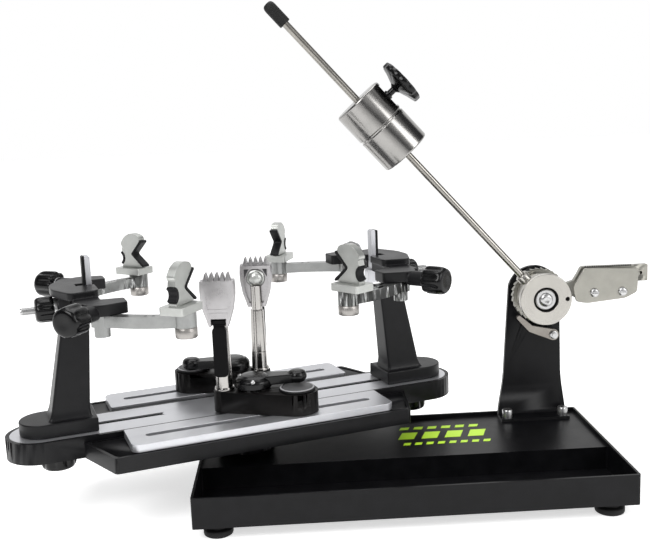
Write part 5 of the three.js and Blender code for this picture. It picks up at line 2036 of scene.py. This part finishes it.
    def front_plate(self) -> None:
        """Front gripper plate."""
        shares = [
            (0.17, 1), (0.1, 0.78), (0, 0.48), (0.05, 0.06), (0.22, 0), (0.8, 0.1), (0.98, 0.26), (1, 0.93),
        ]
        x, z = from_shaft(*self.screw_place)
        holes = [Form.round(3.3, 56, 68, steps=32).along_y(x + i * self.screw_pitch, 0, z) for i in range(2)]
        body = self.plate(shares, self.front_faces, 4).cut(*holes)
        nodes, ease = ["gripper_front_plate"], Ease(0.9, 3, 35)
        make_piece("gripper_front", body, DRUM, PLATE_STEEL, "gripper_front", nodes, ease)

    def pawl(self) -> None:
        """Sprung pawl that catches the ratchet's teeth."""
        x, z = from_shaft(*PAWL_STUD)
        (x0, z0), (x1, z1), (x2, z2) = PAWL_STUD, self.pawl_elbow, self.pawl_tip
        root = Form.prism(link(7.5, 4.5, x1 - x0, z1 - z0), 0, self.pawl_thick)
        hook = Form.prism(link(4.5, 3, x2 - x1, z2 - z1), 0, self.pawl_thick).moved(x1 - x0, z1 - z0)
        body = root.joined(hook).placed(at(x, self.pawl_back, z) @ UPRIGHT)
        body.cut(Form.round(3.3, 90, 102, steps=32).along_y(x, 0, z))
        nodes, ease = ["ratchet_pawl"], Ease(0.6, 2, 35)
        make_piece("pawl_lever", body, DRUM, PAWL_STEEL, "pawl", nodes, ease)


# Studio


@dataclass(frozen=True)
class View:
    """Where the photograph was taken from: metres, degrees and pixels."""

    place: tuple[float, float, float] = (-0.05818, -1.16314, 0.478)
    yaw: float = 2.139
    pitch: float = 9.674
    roll: float = -2.280
    focal_pixels: float = 911.6
    width_pixels: float = 650.0
    sensor: float = 36.0

    def matrix(self) -> Matrix:
        """The camera's matrix.

        Returns:
            From the camera's frame to the scene.
        """
        yaw, pitch, roll = (math.radians(v) for v in (self.yaw, self.pitch, self.roll))
        ahead = Vector((math.sin(yaw) * math.cos(pitch), math.cos(yaw) * math.cos(pitch), -math.sin(pitch)))
        right = Vector((math.cos(yaw), -math.sin(yaw), 0))
        up = right.cross(ahead)
        across = math.cos(roll) * right + math.sin(roll) * up
        over = -math.sin(roll) * right + math.cos(roll) * up
        turn = Matrix((across, over, -ahead)).transposed().to_4x4()
        return Matrix.Translation(self.place) @ turn


@dataclass(frozen=True)
class Studio:
    """Camera, pale floor, soft lamps and a white world."""

    view: View = View()
    floor_glow: float = 0.62
    aim: tuple[float, float, float] = (0.0, 0.0, 0.2)
    dark_panel: tuple[float, float, float, float] = (0.06, 0.06, 0.065, 1.0)
    white: tuple[float, float, float, float] = (1.0, 1.0, 1.0, 1.0)
    panel_edges: Point = (0.42, 0.58)

    def build(self) -> None:
        """Builds the whole studio."""
        self.camera()
        self.floor()
        self.lamp("key", (-0.9, -1.3, 1.5), 1.0, 22.0)
        self.lamp("fill", (1.3, -1.0, 0.9), 0.8, 8.0)
        self.lamp("top", (0.0, 0.3, 1.9), 1.4, 18.0)
        self.world()
        bpy.context.scene.view_settings.view_transform = "Standard"

    def shown(self, name: str, data: bpy.types.ID) -> bpy.types.Object:
        """Puts a camera, a lamp or a mesh into the scene.

        Args:
            name: Its name.
            data: The camera, lamp or mesh.

        Returns:
            The new object.
        """
        thing = bpy.data.objects.new(name, data)
        bpy.context.scene.collection.objects.link(thing)
        return thing

    def camera(self) -> None:
        """Camera at the photograph's place."""
        view = self.view
        data = bpy.data.cameras.new("photo_view")
        data.sensor_width = view.sensor
        data.sensor_fit = "HORIZONTAL"
        data.lens = view.focal_pixels / view.width_pixels * view.sensor
        data.clip_start, data.clip_end = 0.01, 50.0
        camera = self.shown("photo_view", data)
        camera.matrix_world = view.matrix()
        bpy.context.scene.camera = camera

    def lamp(self, name: str, place: tuple[float, float, float], size: float, power: float) -> None:
        """Square area lamp that looks at the machine's middle.

        Args:
            name: Its name.
            place: Where it hangs, in metres.
            size: Its side in metres.
            power: Its power in watts.
        """
        data = bpy.data.lights.new(name, "AREA")
        data.shape, data.size, data.energy = "SQUARE", size, power
        lamp = self.shown(name, data)
        lamp.location = place
        lamp.rotation_euler = (Vector(self.aim) - Vector(place)).to_track_quat("-Z", "Y").to_euler()

    def floor(self) -> None:
        """Wide pale floor."""
        bm = bmesh.new()
        bmesh.ops.create_grid(bm, x_segments=1, y_segments=1, size=12)
        mesh = bpy.data.meshes.new("floor")
        bm.to_mesh(mesh)
        bm.free()
        sketch = Sketch("pale_floor")
        rays = sketch.add("ShaderNodeLightPath").outputs
        mirrored = sketch.math("ADD", rays["Is Glossy Ray"], rays["Is Transmission Ray"])
        seen = sketch.math("ADD", rays["Is Camera Ray"], mirrored)
        inputs = sketch.shader.inputs
        sketch.join(sketch.math("MULTIPLY", seen, self.floor_glow), inputs["Emission Strength"])
        inputs["Emission Color"].default_value = self.white
        inputs["Base Color"].default_value = (0.86, 0.86, 0.86, 1)
        inputs["Roughness"].default_value = 0.9
        inputs["Specular IOR Level"].default_value = 0.1
        mesh.materials.append(sketch.material)
        floor = self.shown("floor", mesh)

    def world(self) -> None:
        """White to the camera, softer as light, and uneven in reflections as a studio is."""
        world = bpy.data.worlds.new("studio")
        bpy.context.scene.world = world
        world.use_nodes = True
        nodes = Nodes(world.node_tree)
        nodes.tree.nodes.clear()
        rays = nodes.add("ShaderNodeLightPath").outputs
        direction = nodes.add("ShaderNodeTexCoord").outputs["Generated"]
        panels = nodes.add("ShaderNodeTexNoise", Vector=direction, Scale=1.5, Detail=1.0)
        back = nodes.add("ShaderNodeSeparateXYZ", Vector=direction).outputs["Y"]
        ramp = nodes.add("ShaderNodeValToRGB", Fac=nodes.math("MULTIPLY_ADD", back, 0.1, panels.outputs[0]))
        colors = (self.dark_panel, self.white)
        for element, edge, color in zip(ramp.color_ramp.elements, self.panel_edges, colors):
            element.position, element.color = edge, color
        seen, light, mirror = (
            nodes.add("ShaderNodeBackground", Color=color, Strength=strength).outputs[0]
            for color, strength in ((self.white, 1.0), (self.white, 0.5), (ramp.outputs[0], 1.0))
        )
        first = nodes.add("ShaderNodeMixShader", s0=rays["Is Glossy Ray"], s1=light, s2=mirror)
        second = nodes.add("ShaderNodeMixShader", s0=rays["Is Camera Ray"], s1=first.outputs[0], s2=seen)
        nodes.add("ShaderNodeOutputWorld", s0=second.outputs[0])


def main() -> None:
    """Builds the studio and every sub-assembly in order."""
    logging.basicConfig(level=logging.INFO, format="%(message)s")
    Studio().build()
    Base().build()
    Turntable().build()
    for tower in (
        Tower("left", side=-1, out=0.0, spread=3.0, heading=47.0, front_turn=-10.0),
        Tower("right", side=1, out=4.0, spread=-5.0, heading=60.0, front_turn=-14.0),
    ):
        tower.build()
    for clamp in (Clamp("front", 1), Clamp("rear", -1)):
        clamp.build()
    WeightArm().build()
    Drum().build()


if __name__ == "__main__":
    main()
